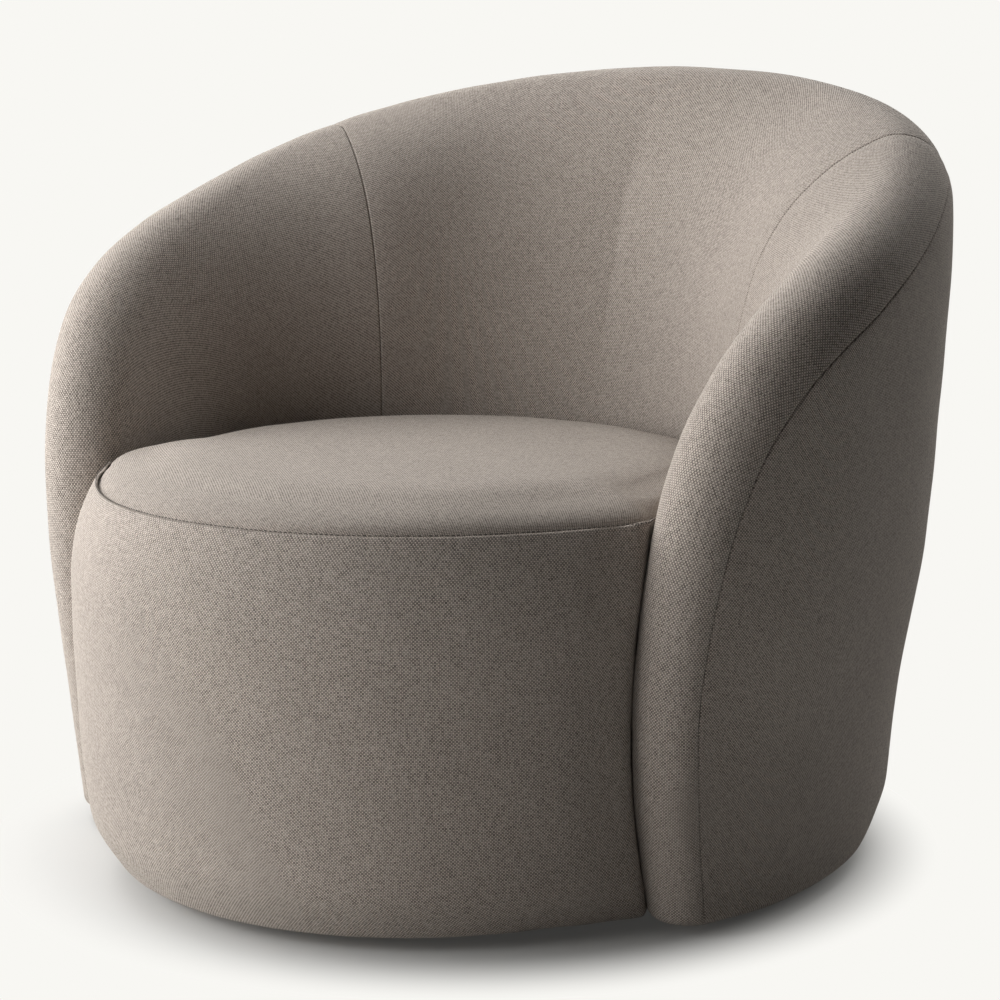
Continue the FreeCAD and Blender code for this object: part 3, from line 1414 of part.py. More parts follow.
def build():
    floor_glides()
    plinth_disc()
    bore = "Sizes.pivot_radius + Sizes.pivot_play"
    swivel_plate("swivel_lower_plate", PLINTH_TOP_AT, LOWER_PLATE_TOP_AT,
                 "Sizes.screw_radius + Sizes.hole_play", "Sizes.pivot_radius + Sizes.layer_gap")
    swivel_plate("swivel_upper_plate", UPPER_PLATE_AT, UPPER_PLATE_AT + " - Sizes.race_height",
                 "Sizes.bolt_radius + Sizes.hole_play", bore)
    pivot_rivet()
    bearing_balls()
    ball_cage()
    turned_fixings("lower_plate_screws",
                   screw_profile(FIXING_AT, LOWER_PLATE_TOP_AT, "Sizes.screw_length"), 4, FIXING_AT)
    turned_fixings("upper_plate_bolts", bolt_profile(), 4, FIXING_AT)
    turned_fixings("tee_nuts", tee_nut_profile(), 4, FIXING_AT)
    turned_fixings("swivel_board_screws",
                   screw_profile("Sizes.board_screw_circle", BOARD_TOP_AT, "Sizes.board_screw_length"),
                   BOARD_SCREW_COUNT)
    swivel_board()
    base_ring()
    dust_cover()
    seat_rail()
    seat_uprights()
    seat_webbing()
    seat_soft_parts()
    shell_layers()
    rim_frame()
    back_hoop()
    back_ribs()


build()
doc.recompute()


def check():
    """Stop on any failed object or empty or invalid piece."""
    problems = []
    for item in doc.Objects:
        if "Invalid" in item.State or "Error" in item.State:
            problems.append(f"{item.Label}: {item.State}")
    for item in finished:
        if item.Shape.isNull() or not item.Shape.Solids or not item.Shape.isValid():
            problems.append(f"{item.Label}: no valid solid")
    if problems:
        raise RuntimeError("; ".join(problems))


check()
os.makedirs("parts", exist_ok=True)
for item in finished:
    item.Shape.exportStep(f"parts/{item.Label}.step")
print(len(finished), "nodes")
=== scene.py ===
import json
import math

import bpy
import numpy as np
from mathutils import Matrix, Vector


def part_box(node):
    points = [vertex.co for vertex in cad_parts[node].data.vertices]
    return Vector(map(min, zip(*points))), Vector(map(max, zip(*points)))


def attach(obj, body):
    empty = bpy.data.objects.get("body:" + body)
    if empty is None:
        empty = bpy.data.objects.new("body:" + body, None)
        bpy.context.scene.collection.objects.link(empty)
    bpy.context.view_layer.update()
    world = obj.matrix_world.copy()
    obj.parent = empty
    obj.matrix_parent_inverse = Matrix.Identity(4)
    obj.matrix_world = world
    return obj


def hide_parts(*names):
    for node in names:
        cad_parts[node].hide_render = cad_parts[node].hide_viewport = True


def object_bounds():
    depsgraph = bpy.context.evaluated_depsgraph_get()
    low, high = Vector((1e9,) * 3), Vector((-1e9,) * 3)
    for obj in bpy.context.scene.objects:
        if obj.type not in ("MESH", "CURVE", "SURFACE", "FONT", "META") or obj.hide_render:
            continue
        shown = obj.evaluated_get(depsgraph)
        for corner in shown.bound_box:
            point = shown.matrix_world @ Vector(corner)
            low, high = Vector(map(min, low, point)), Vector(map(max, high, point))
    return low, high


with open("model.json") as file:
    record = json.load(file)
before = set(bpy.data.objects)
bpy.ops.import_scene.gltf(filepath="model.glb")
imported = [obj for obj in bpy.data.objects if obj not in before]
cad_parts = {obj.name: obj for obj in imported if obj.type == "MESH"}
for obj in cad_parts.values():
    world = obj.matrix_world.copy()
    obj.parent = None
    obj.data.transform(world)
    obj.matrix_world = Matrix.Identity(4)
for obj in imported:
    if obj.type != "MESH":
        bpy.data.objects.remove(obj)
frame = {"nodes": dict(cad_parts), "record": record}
CAD_LOW, CAD_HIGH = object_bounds()

# Swivel accent chair: tight greige upholstery over a rolled rim, a round seat drum, a hidden swivel.
# Metres, +Z up, the sitter faces -Y. Sizes come from the frame, shapes are shares of them.

MM = 0.001
QUARTER = math.pi / 2

# overall, with the plan centre of the upholstery set forward of the swivel's axis
HEIGHT = CAD_HIGH.z
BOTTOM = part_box("outside_cover_right")[0].z
WIDEST_SHARE = 0.997
HALF_WIDTH = CAD_HIGH.x / WIDEST_SHARE
PLAN_CENTRE = -0.0355
REAR_DEPTH = CAD_HIGH.y - PLAN_CENTRE
ARM_REACH = 0.396
ROLL_RADIUS = 0.053
# inside of the tub, where the lining meets the seat
TUB_HALF_WIDTH = 0.296
TUB_DEPTH = 0.302
TUB_SETFORWARD = 0.046
LINING_FOOT = 0.345
LINING_BULGE = 0.034
# round front of the seat drum
DRUM_HALF_WIDTH = 0.367
DRUM_FRONT = 0.466
DRUM_CENTRE = 0.059
SEAM_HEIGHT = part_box("seat_top_cover")[0].z
BAND_EASE = 0.110
TUCK_SHARE = 0.13
TUCK_PLAY = 0.8 * MM

# height share of the overall height, half width share, rear depth share
FLARE_SHARES = np.array([
    (0.016, 0.889, 0.630), (0.045, 0.892, 0.780), (0.080, 0.896, 0.862), (0.200, 0.910, 0.894),
    (0.400, 0.961, 0.944), (0.600, 0.981, 0.988), (0.800, 1.000, 1.000), (1.000, 0.971, 0.971),
])
# roll radius share at a height share
ROLL_SHARES = np.array([
    (0.016, 0.66), (0.400, 0.79), (0.573, 0.89), (0.747, 1.0), (0.827, 0.98), (0.939, 0.87),
])
# centre line of the roll: share of a quarter turn from the side to the back, height share
RIM_SHARES = (
    (-0.263, 0.016), (-0.291, 0.147), (-0.300, 0.300), (-0.281, 0.440), (-0.228, 0.560), (-0.128, 0.653),
    (0.000, 0.712), (0.178, 0.768), (0.400, 0.840), (0.578, 0.889), (0.778, 0.925), (1.000, 0.939),
)
# seat wall: height share of the seam height, how far it stands out as a share of the drum half width
WALL_SHARES = np.array([(0.032, -0.098), (0.165, -0.024), (0.405, -0.002), (0.757, 0.008), (1.000, -0.033)])
# how full the inside lining is at places along half the rim
FULLNESS_SHARES = np.array([(0, 0), (0.30, 0), (0.48, 0.55), (0.60, 0.9), (0.70, 1), (0.85, 0.7), (1, 0.45)])
# outer seam: place along half the rim, distance from the roll's outer edge over the roll
SEAM_PLACES = np.array([
    (0, 0.008), (0.05, 0.003), (0.10, 0.001), (0.16, 0.003), (0.22, 0.0015), (0.29, 0.001), (0.345, 0.005),
    (0.40, 0.010), (0.46, 0.012), (0.52, 0.0155), (0.60, 0.020), (0.70, 0.019), (0.80, 0.016), (1, 0.014),
])
BACK_SQUARENESS = 2.43
FRONT_SQUARENESS = 2.0
DRUM_SQUARENESS = 2.06
INNER_SEAM_SHARE = 0.70
# how far the controls of a section's curves are pulled
OUTSIDE_PULL_SHARE = 0.4
OUTSIDE_PULL_FROM, OUTSIDE_PULL_TO = 0.2, 0.4
PLAIN_PULL_SHARE = 0.55
FULL_PULL_SHARE = 0.91
# lower ends of a section, as it goes from the arm's front to the back
FOOT_LEVEL_SHARE = 0.30
FOOT_START_SHARE = 0.12
FOOT_SPEED = 1.70
FOOT_TURN_SHARE = 0.07
OUTSIDE_FOOT_LEAD = 0.07
OUTSIDE_FOOT_SPEED = 1.2
OUTSIDE_FINE_POWER = 1.5
DRIFT_POWER = 4


# Smooth curves through given values


def smooth_values(table, column, x):
    """Smooth curve through a table's column, without overshoot, for an array of places."""
    places, values = table[:, 0], table[:, column]
    steps = np.diff(values) / np.diff(places)
    before = np.concatenate([steps[:1], steps])
    after = np.concatenate([steps, steps[-1:]])
    same_way = before * after > 0
    slopes = np.where(same_way, 2 * before * after / np.where(same_way, before + after, 1), 0)
    x = np.clip(x, places[0], places[-1])
    i = np.clip(np.searchsorted(places, x, side="right") - 1, 0, len(places) - 2)
    span = places[i + 1] - places[i]
    t = (x - places[i]) / span
    return (
        values[i] * (1 + 2 * t) * (1 - t) ** 2
        + values[i + 1] * t * t * (3 - 2 * t)
        + slopes[i] * span * t * (1 - t) ** 2
        - slopes[i + 1] * span * t * t * (1 - t)
    )


def natural_spline(knots, points):
    """Second derivatives of a natural cubic spline through points."""
    count = len(knots)
    steps = np.diff(knots)
    system = np.eye(count)
    right = np.zeros((count, points.shape[1]))
    for i in range(1, count - 1):
        system[i, i - 1:i + 2] = steps[i - 1], 2 * (steps[i - 1] + steps[i]), steps[i]
        right[i] = 6 * ((points[i + 1] - points[i]) / steps[i] - (points[i] - points[i - 1]) / steps[i - 1])
    return np.linalg.solve(system, right)


def spline_at(knots, points, bends, x):
    """Points of a cubic spline at places x."""
    i = np.clip(np.searchsorted(knots, x, side="right") - 1, 0, len(knots) - 2)
    step = (knots[i + 1] - knots[i])[:, None]
    a = (knots[i + 1] - x)[:, None] / step
    b = 1 - a
    return (
        a * points[i] + b * points[i + 1]
        + ((a ** 3 - a) * bends[i] + (b ** 3 - b) * bends[i + 1]) * step ** 2 / 6
    )


def lengths_along(points):
    """Length of a line up to each of its points."""
    return np.concatenate([[0], np.cumsum(np.linalg.norm(np.diff(points, axis=0), axis=1))])


def evenly(points, count):
    """The same line with its points at even distances."""
    places = lengths_along(points)
    even = np.linspace(0, places[-1], count)
    return np.stack([np.interp(even, places, points[:, k]) for k in range(points.shape[1])], axis=1)


SPLINE_SAMPLES = 4000


def smooth_line(points, count):
    """Evenly spaced points on a smooth line through a few given ones."""
    points = np.array(points, float)
    knots = lengths_along(points)
    bends = natural_spline(knots, points)
    return evenly(spline_at(knots, points, bends, np.linspace(0, knots[-1], SPLINE_SAMPLES)), count)


def unit(v):
    """Vectors at length one."""
    return v / np.maximum(np.linalg.norm(v, axis=-1, keepdims=True), 1e-12)


def smoothstep(low, high, x):
    """Soft step from 0 at low to 1 at high."""
    t = np.clip((x - low) / (high - low), 0, 1)
    return t * t * (3 - 2 * t)


# The shell: outside surface, rim roll and inside lining, about the plan centre


def shell_point(turn, z, inset=0.0):
    """Outside surface in the direction turn at height z, for arrays."""
    turn, z = np.broadcast_arrays(np.asarray(turn, float), np.asarray(z, float))
    share = z / HEIGHT
    half_width = HALF_WIDTH * smooth_values(FLARE_SHARES, 1, share) - inset
    back = turn >= 0
    depth = np.where(back, REAR_DEPTH * smooth_values(FLARE_SHARES, 2, share), ARM_REACH) - inset
    power = np.where(back, BACK_SQUARENESS, FRONT_SQUARENESS)
    across = (np.abs(np.cos(turn)) / half_width) ** power
    along = (np.abs(np.sin(turn)) / depth) ** power
    radius = (across + along) ** (-1 / power)
    return np.stack([radius * np.cos(turn), radius * np.sin(turn), z], axis=-1)


NORMAL_STEP = 0.002


def shell_normal(turn, z, inset=0.0):
    """Outward direction of the outside surface."""
    around = shell_point(turn + NORMAL_STEP, z, inset) - shell_point(turn - NORMAL_STEP, z, inset)
    up = shell_point(turn, z + NORMAL_STEP, inset) - shell_point(turn, z - NORMAL_STEP, inset)
    return unit(np.cross(around, up))


def roll_radius(z):
    """Radius of the rolled rim where its centre line is at height z."""
    return ROLL_RADIUS * smooth_values(ROLL_SHARES, 1, np.asarray(z, float) / HEIGHT)


RIM_COUNT = 961


def rim_line():
    """Evenly spaced centre line of the roll from the right arm's foot to the left arm's foot."""
    half = []
    for turn_share, height_share in RIM_SHARES:
        z = height_share * HEIGHT
        half.append(shell_point(turn_share * QUARTER, z, float(roll_radius(z))))
    half = np.array(half)
    half[-1, 0] = 0
    return smooth_line(np.concatenate([half, half[-2::-1] * (-1, 1, 1)]), RIM_COUNT)


RIM = rim_line()
RIM_TANGENTS = unit(np.gradient(RIM, axis=0))


def along_rim(table, share):
    """Value of a table of rim points at a share of half the rim, 0 at the right foot, 1 at the back."""
    places = np.linspace(0, 2, len(table))
    return np.array([np.interp(share, places, table[:, k]) for k in range(3)])


def inner_foot(share):
    """Lower end of the inside lining, up the arm and then round the tub, with its direction."""
    rise = math.sin(QUARTER * min(1, share / FOOT_LEVEL_SHARE))
    turn = QUARTER * (max(0, share - FOOT_START_SHARE) / (1 - FOOT_START_SHARE)) ** FOOT_SPEED
    back = TUB_DEPTH * math.sin(turn) - TUB_SETFORWARD
    return np.array([TUB_HALF_WIDTH * math.cos(turn), back, BOTTOM + (LINING_FOOT - BOTTOM) * rise]), turn


def wrap_angle(across, drop, radius):
    """How far round the roll, from its outside, the straight line to a point leaves it."""
    return math.atan2(-drop, across) % math.tau - math.acos(radius / math.hypot(across, drop))


SECTION_POINTS = 161


def right_section(share):
    """Points of one section of the right half: outside from its foot, roll, inside to its foot."""
    centre = along_rim(RIM, share)
    upright = 1 - smoothstep(0, FOOT_TURN_SHARE, share)
    along = unit(along_rim(RIM_TANGENTS, share) * (1 - upright) + np.array([0, 0, upright]))
    radius = float(roll_radius(centre[2]))
    out = shell_normal(math.atan2(centre[1], centre[0]), centre[2], radius)
    out = unit(out - along * out.dot(along))
    down = unit(np.cross(along, out))
    start = centre + out * radius
    reach = centre[2] - BOTTOM + radius
    far = smoothstep(OUTSIDE_PULL_FROM, OUTSIDE_PULL_TO, share)
    control = start + down * (radius + (reach * OUTSIDE_PULL_SHARE - radius) * far)
    start_turn, control_turn = math.atan2(start[1], start[0]), math.atan2(control[1], control[0])
    end_turn = QUARTER * (-OUTSIDE_FOOT_LEAD + (1 + OUTSIDE_FOOT_LEAD) * share ** OUTSIDE_FOOT_SPEED)
    t = np.linspace(0, 1, SECTION_POINTS) ** OUTSIDE_FINE_POWER
    blend = (t * t, 2 * t * (1 - t), (1 - t) ** 2)
    turn = blend[0] * start_turn + blend[1] * control_turn + blend[2] * end_turn
    z = blend[0] * start[2] + blend[1] * max(control[2], BOTTOM) + blend[2] * BOTTOM
    drift = start - shell_point(start_turn, start[2])
    outside = shell_point(turn, z) + drift * (t ** DRIFT_POWER)[:, None]
    foot, foot_turn = inner_foot(share)

    def rays_at(angle):
        return out * np.cos(angle) - down * np.sin(angle)

    def wrap_to(point):
        return wrap_angle((point - centre).dot(out), (point - centre).dot(down), radius)

    full = float(smooth_values(FULLNESS_SHARES, 1, share))
    plain_end = centre + rays_at(wrap_to(foot)) * radius
    plain = foot + (plain_end - foot) * PLAIN_PULL_SHARE
    pull = (centre[2] - foot[2]) * FULL_PULL_SHARE
    bulged = foot + np.array([-math.cos(foot_turn) * LINING_BULGE, -math.sin(foot_turn) * LINING_BULGE, pull])
    control = plain * (1 - full) + bulged * full
    angle = wrap_to(control) * np.linspace(0, 1, SECTION_POINTS)[:, None]
    roll = centre + rays_at(angle) * radius
    t = np.linspace(0, 1, SECTION_POINTS)[:, None]
    inside = roll[-1] * (1 - t) ** 2 + control * (2 * t * (1 - t)) + foot * t * t
    return outside, roll, inside


SECTION_COUNT = 241
SECTION_FINE_POWER = 1.15
SECTION_PLACES = np.linspace(0, 1, SECTION_COUNT) ** SECTION_FINE_POWER
SECTIONS = [right_section(share) for share in SECTION_PLACES]
PARTS = ("outside", "roll", "inside")
TABLES, LENGTHS = {}, {}
for k, part in enumerate(PARTS):
    TABLES[part] = np.array([evenly(row[k], SECTION_POINTS) for row in SECTIONS])
    LENGTHS[part] = np.array([lengths_along(row[k])[-1] for row in SECTIONS])


def at_places(table, share, t):
    """Smooth look-up in a table of section points at a rim share (0 to 1) and a place t (0 to 1)."""
    rows = np.interp(share, SECTION_PLACES, np.arange(SECTION_COUNT))
    columns = np.clip(t, 0, 1) * (SECTION_POINTS - 1)
    i = np.clip(rows.astype(int), 0, SECTION_COUNT - 2)
    j = np.clip(columns.astype(int), 0, SECTION_POINTS - 2)
    a, b = (rows - i)[..., None], (columns - j)[..., None]
    return (
        (table[i, j] * (1 - b) + table[i, j + 1] * b) * (1 - a)
        + (table[i + 1, j] * (1 - b) + table[i + 1, j + 1] * b) * a
    )


def length_at(part, share):
    """Length of a section's part at rim shares 0 to 2."""
    return np.interp(1 - np.abs(1 - share), SECTION_PLACES, LENGTHS[part])


def skin(share, place):
    """Shell points at rim shares 0 to 2 and distances from the roll's outer edge, below zero outside."""
    share, place = np.broadcast_arrays(share, place)
    folded = 1 - np.abs(1 - share)
    outside, roll, inside = (length_at(part, share) for part in PARTS)
    points = np.where(
        (place < 0)[..., None],
        at_places(TABLES["outside"], folded, 1 + place / outside),
        np.where(
            (place < roll)[..., None],
            at_places(TABLES["roll"], folded, place / roll),
            at_places(TABLES["inside"], folded, (place - roll) / inside),
        ),
    )
    return np.where((share > 1)[..., None], points * (-1, 1, 1), points)


def seam_place(share):
    """Distance of the outer seam from the roll's outer edge at rim shares 0 to 2."""
    return smooth_values(SEAM_PLACES, 1, 1 - np.abs(1 - share))


def grid_normals(points):
    """Direction across a grid of points, for each point."""
    return unit(np.cross(np.gradient(points, axis=0), np.gradient(points, axis=1)))


# Meshes


def add_object(name, data):
    """New object in the scene, with a mesh, a lamp or a camera as its data."""
    obj = bpy.data.objects.new(name, data)
    bpy.context.collection.objects.link(obj)
    return obj


def new_mesh(name, points, faces):
    """Smooth-shaded piece from points about the plan centre."""
    mesh = bpy.data.meshes.new(name)
    mesh.from_pydata((points + (0, PLAN_CENTRE, 0)).tolist(), [], faces)
    mesh.shade_smooth()
    return add_object(name, mesh)


def map_fabric(mesh, uv):
    """Fabric map of a mesh, in metres at each point."""
    layer = mesh.uv_layers.new(name="fabric")
    corners = np.zeros(len(mesh.loops), dtype=np.int32)
    mesh.loops.foreach_get("vertex_index", corners)
    layer.data.foreach_set("uv", uv[corners].astype(np.float32).reshape(-1))


def grid_faces(rows, columns):
    """Four-sided faces of a grid of points."""
    index = np.arange(rows * columns).reshape(rows, columns)
    return np.stack([index[:-1, :-1], index[1:, :-1], index[1:, 1:], index[:-1, 1:]], axis=-1).reshape(-1, 4)


CLOTH_THICKNESS = 1.6 * MM


def grid_piece(name, points, uv, inwards):
    """Cover through a grid of points, thick towards the inside."""
    faces = grid_faces(*points.shape[:2])
    obj = new_mesh(name, points.reshape(-1, 3), (faces[:, ::-1] if inwards else faces).tolist())
    map_fabric(obj.data, uv.reshape(-1, 2))
    thick = obj.modifiers.new("cloth", "SOLIDIFY")
    thick.thickness = CLOTH_THICKNESS
    thick.offset = -1
    return obj


SEAM_FOLD = 2.0 * MM
SEAM_PILLOW = 1.1 * MM
REAR_SEAM_PILLOW = 0.5 * MM
SEAM_REACH = 15 * MM
GATHER_DEPTH = 0.12 * MM
GATHER_REACH = 7 * MM
# length of a radian, strength and start of each wave of gathers
GATHER_WAVES = ((2.3 * MM, 1, 0), (3.7 * MM, 0.7, 1.3))


def seam_drop(distance, along, pillow=SEAM_PILLOW):
    """How far a panel's face drops towards a seam: rounded fold, soft pillow and small uneven gathers."""
    inside = np.clip(SEAM_FOLD - distance, 0, SEAM_FOLD)
    edge = SEAM_FOLD - np.sqrt(np.maximum(SEAM_FOLD ** 2 - inside ** 2, 0))
    gathers = sum(strength * np.sin(along / length + start) for length, strength, start in GATHER_WAVES)
    gathered = GATHER_DEPTH * gathers * np.exp(-distance / GATHER_REACH)
    return edge + pillow * np.exp(-distance / SEAM_REACH) + gathered


UNEVENNESS = 0.28 * MM


def undulation(points):
    """Slight unevenness of upholstery pulled over foam, from waves that don't repeat together."""
    x, y, z = points[..., 0], points[..., 1], points[..., 2]
    return UNEVENNESS * (
        np.sin(41 * x + 23 * z + 0.7) * np.sin(37 * y - 19 * z)
        + np.sin(67 * z + 29 * x) * np.sin(53 * y + 31 * x + 1.9)
    )


FINEST = 0.6 * MM
COARSENING = 6


def fine_towards(ends, count, length):
    """Places from 0 to 1 over a length, with spacing that narrows towards the given ends."""
    steps = np.linspace(0, 1, count)
    near = FINEST / length
    weights = np.ones(count - 1)
    middles = (steps[1:] + steps[:-1]) / 2
    for end in ends:
        weights *= np.clip(np.abs(middles - end) * COARSENING, near * count, 1)
    places = np.concatenate([[0], np.cumsum(weights)])
    return places / places[-1]


def distances(points, axis, from_end=False):
    """Length along one way of a grid from one of its ends."""
    steps = np.linalg.norm(np.diff(points, axis=axis), axis=2)
    start = np.zeros_like(np.take(steps, [0], axis=axis))
    total = np.concatenate([start, np.cumsum(steps, axis=axis)], axis=axis)
    if from_end:
        total = np.take(total, [-1], axis=axis) - total
    return total


SHELL_TURN_RADIUS = 11 * MM
BAND_TURN_RADIUS = 8 * MM


def bottom_turn(points, normals, radius):
    """Round the lower edge of a cover inwards."""
    rise = np.clip(points[..., 2] - BOTTOM, 0, radius)
    inset = radius - np.sqrt(np.maximum(radius ** 2 - (radius - rise) ** 2, 0))
    return points - unit(normals * (1, 1, 0)) * inset[..., None]


DIMPLE_DEPTH = 1.2 * MM
DIMPLE_REACH = 11 * MM
INNER_SEAM_SHARES = (INNER_SEAM_SHARE, 2 - INNER_SEAM_SHARE)
SEAM_MEETINGS = [skin(np.array(share), seam_place(np.array(share))) for share in INNER_SEAM_SHARES]


def pulled_in(points, outward, drop):
    """Points of a shell cover after its seams, its unevenness and the cloth drawn in where seams meet."""
    for place in SEAM_MEETINGS:
        away = np.linalg.norm(points - place, axis=-1)
        drop = drop + DIMPLE_DEPTH * np.exp(-(away / DIMPLE_REACH) ** 2)
    return bottom_turn(points - outward * (drop + undulation(points))[..., None], outward, SHELL_TURN_RADIUS)


ARM_COLUMNS = 400
BACK_COLUMNS = 360
UPPER_ROWS = 150
UPPER_WIDTH, UPPER_HEIGHT = 0.9, 0.5
OUTSIDE_COLUMNS, OUTSIDE_ROWS = 330, 120
OUTSIDE_WIDTH, OUTSIDE_HEIGHT = 1.2, 0.7
# radius at which the outside's fabric map runs true
OUTSIDE_MAP_RADIUS = 0.43


def upper_panel(name, start, end, seams, columns):
    """Cover over the rim and down the inside, from one rim share to another."""
    share = start + (end - start) * fine_towards(seams, columns, UPPER_WIDTH)
    low = seam_place(share)
    high = length_at("roll", share) + length_at("inside", share)
    v = fine_towards([0], UPPER_ROWS, UPPER_HEIGHT)
    points = skin(share[:, None], low[:, None] + (high - low)[:, None] * v)
    normals = grid_normals(points)
    outward = normals if normals[columns // 2, UPPER_ROWS // 4, 2] > 0 else -normals
    along, across = distances(points, 0), distances(points, 1)
    drop = seam_drop(across, along)
    if 0 in seams:
        drop = np.maximum(drop, seam_drop(along, across))
    if 1 in seams:
        drop = np.maximum(drop, seam_drop(distances(points, 0, True), across))
    uv = np.stack([along.mean(axis=1)[:, None] + np.zeros_like(along), across], axis=-1)
    return grid_piece(name, pulled_in(points, outward, drop), uv, outward is not normals)


def outside_panel(name, side):
    """Cover of the outside, up to the outer seam, from an arm's front to the middle of the back."""
    share = fine_towards([1], OUTSIDE_COLUMNS, OUTSIDE_WIDTH)
    share = share if side > 0 else 2 - share[::-1]
    low = -length_at("outside", share)
    v = fine_towards([1], OUTSIDE_ROWS, OUTSIDE_HEIGHT)
    points = skin(share[:, None], low[:, None] + (seam_place(share) - low)[:, None] * v)
    normals = grid_normals(points)
    middle = (len(share) // 2, len(v) // 2)
    outward = normals if (normals[middle] * points[middle])[:2].sum() > 0 else -normals
    along = distances(points, 0)
    drop = seam_drop(distances(points, 1, True), along)
    drop = np.maximum(drop, seam_drop(distances(points, 0, side > 0), points[..., 2], REAR_SEAM_PILLOW))
    turn = np.unwrap(np.arctan2(points[..., 1], points[..., 0]), axis=0)
    uv = np.stack([turn * OUTSIDE_MAP_RADIUS, points[..., 2]], axis=-1)
    piece = grid_piece(name, pulled_in(points, outward, drop), uv, outward is not normals)
    return piece


# The seat drum

ARM_ROLL = along_rim(RIM, TUCK_SHARE)
TUCK_HALF_WIDTH = ARM_ROLL[0] - float(roll_radius(ARM_ROLL[2])) - TUCK_PLAY
TUCK_DEPTH = TUB_DEPTH - (TUB_HALF_WIDTH - TUCK_HALF_WIDTH)
# how much wider than drawn the drum takes the arm's roll to be, growing between two heights
ROLL_EXCESS = 0.035
EXCESS_FROM, EXCESS_TO = 0.28, 0.36
# the drum's edge drawn in towards the seam
SHOULDER_PULL = 9 * MM
SHOULDER_DEPTH = 45 * MM
# crease where the drum meets the arm: height, how far the cloth is drawn in
CREASE = np.array([
    (0.0, 0.008), (0.03, 0.010), (0.06, 0.015), (0.12, 0.019),
    (0.22, 0.018), (0.30, 0.011), (0.34, 0.007), (0.37, 0.004),
])
CREASE_REACH = 0.085
CREASE_TOWARDS = np.array([-0.9, 0.42])
TURNED_UNDER_SHARE = 0.3
# points of the outline: round the front to the arm, round its roll, beside the cushion, round the rear
FRONT_POINTS = 15
CORNER_SEARCH = np.linspace(math.radians(60), math.radians(12), 400)
CORNER_PLAY, CORNER_SLACK = 1.2 * MM, 0.1 * MM
ARC_END = math.radians(184)
ARC_SHARES = (0.15, 0.42, 0.7, 1)
SIDE_SHARES = (0.75, 0.4, 0)
REAR_DEGREES = (12, 26, 42, 58, 74, 90)


def arm_roll_at(z):
    """Middle and radius of the right arm's roll where a level plane cuts it, about the plan centre."""
    rising = RIM[: RIM_COUNT // 4]
    middle = np.array([np.interp(z, rising[:, 2], rising[:, k]) for k in range(2)])
    return middle, float(roll_radius(z)) * (1 + ROLL_EXCESS * float(smoothstep(EXCESS_FROM, EXCESS_TO, z)))


def drum_half(z, inset):
    """Right half of the seat outline at a height, from the front centre past the arm roll to the rear."""
    roll, radius = arm_roll_at(z)
    tuck = radius + TUCK_PLAY + inset
    stand_out = DRUM_HALF_WIDTH * float(smooth_values(WALL_SHARES, 1, z / SEAM_HEIGHT))
    power = 2 / DRUM_SQUARENESS
    inward = inset + SHOULDER_PULL * max(0.0, 1 - (SEAM_HEIGHT - z) / SHOULDER_DEPTH) ** 2
    inward -= TURNED_UNDER_SHARE * min(0.0, stand_out)
    stand_out = max((1 - TURNED_UNDER_SHARE) * stand_out, stand_out)
    crease = float(np.interp(z, CREASE[:, 0], CREASE[:, 1]))

    def front(sweep, proud=0.0):
        across = (DRUM_HALF_WIDTH - inward + proud) * np.maximum(0, np.cos(sweep)) ** power
        depth = (DRUM_FRONT - inward + proud) * np.sin(sweep) ** power
        return np.stack([across, DRUM_CENTRE - depth], axis=-1)

    def eased(sweep):
        plain = front(sweep)
        ease = np.clip((roll[1] - plain[..., 1]) / BAND_EASE, 0, 1)[..., None]
        curve = plain + (front(sweep, stand_out) - plain) * ease
        away = np.linalg.norm(curve - roll, axis=-1) - radius
        beside = np.clip(1 - away / CREASE_REACH, 0, 1)[..., None]
        return curve + crease * beside ** 2 * CREASE_TOWARDS

    apart = np.linalg.norm(eased(CORNER_SEARCH) - roll, axis=1)
    near = apart < max(tuck + CORNER_PLAY, apart.min() + CORNER_SLACK)
    corner = CORNER_SEARCH[np.argmax(near)]
    points = list(eased(np.linspace(QUARTER, corner, FRONT_POINTS)))
    across, along = points[-1] - roll
    start = math.atan2(along, across) % math.tau
    for share in ARC_SHARES:
        sweep = start + (ARC_END - start) * share
        points.append(roll + tuck * np.array([math.cos(sweep), math.sin(sweep)]))
    inner = TUCK_HALF_WIDTH - inset
    reach = points[-1][0] - inner
    for share in SIDE_SHARES:
        y = -TUB_SETFORWARD + share * (roll[1] + TUB_SETFORWARD)
        points.append(np.array([inner + reach * share ** 2, y]))
    for degrees in REAR_DEGREES:
        sweep = math.radians(degrees)
        y = (TUCK_DEPTH - inset) * math.sin(sweep) - TUB_SETFORWARD
        points.append(np.array([inner * math.cos(sweep), y]))
    points[0][0] = points[-1][0] = 0
    return np.array(points)


def seat_outline(z, count, shrink=1.0, inset=0.0):
    """Evenly spaced outline at a height, from the rear centre round the left and front to the rear centre."""
    half = drum_half(z, inset)
    line = smooth_line(np.concatenate([half[:0:-1] * (-1, 1), half]), count)
    roll, radius = arm_roll_at(z)
    for side in (-1, 1):
        away = line - roll * (side, 1)
        far = np.linalg.norm(away, axis=1, keepdims=True)
        line = np.where(far < radius + inset, line + away / far * (radius + inset - far), line)
    middle = (line[:, 1].max() + line[:, 1].min()) / 2
    line = np.stack([line[:, 0] * shrink, middle + (line[:, 1] - middle) * shrink], axis=-1)
    return np.concatenate([line, np.full((count, 1), z)], axis=1)


# crown of the cushion: how high it rises in the middle and how full it is
CROWN = 5.5 * MM
CROWN_FULLNESS = 3.2
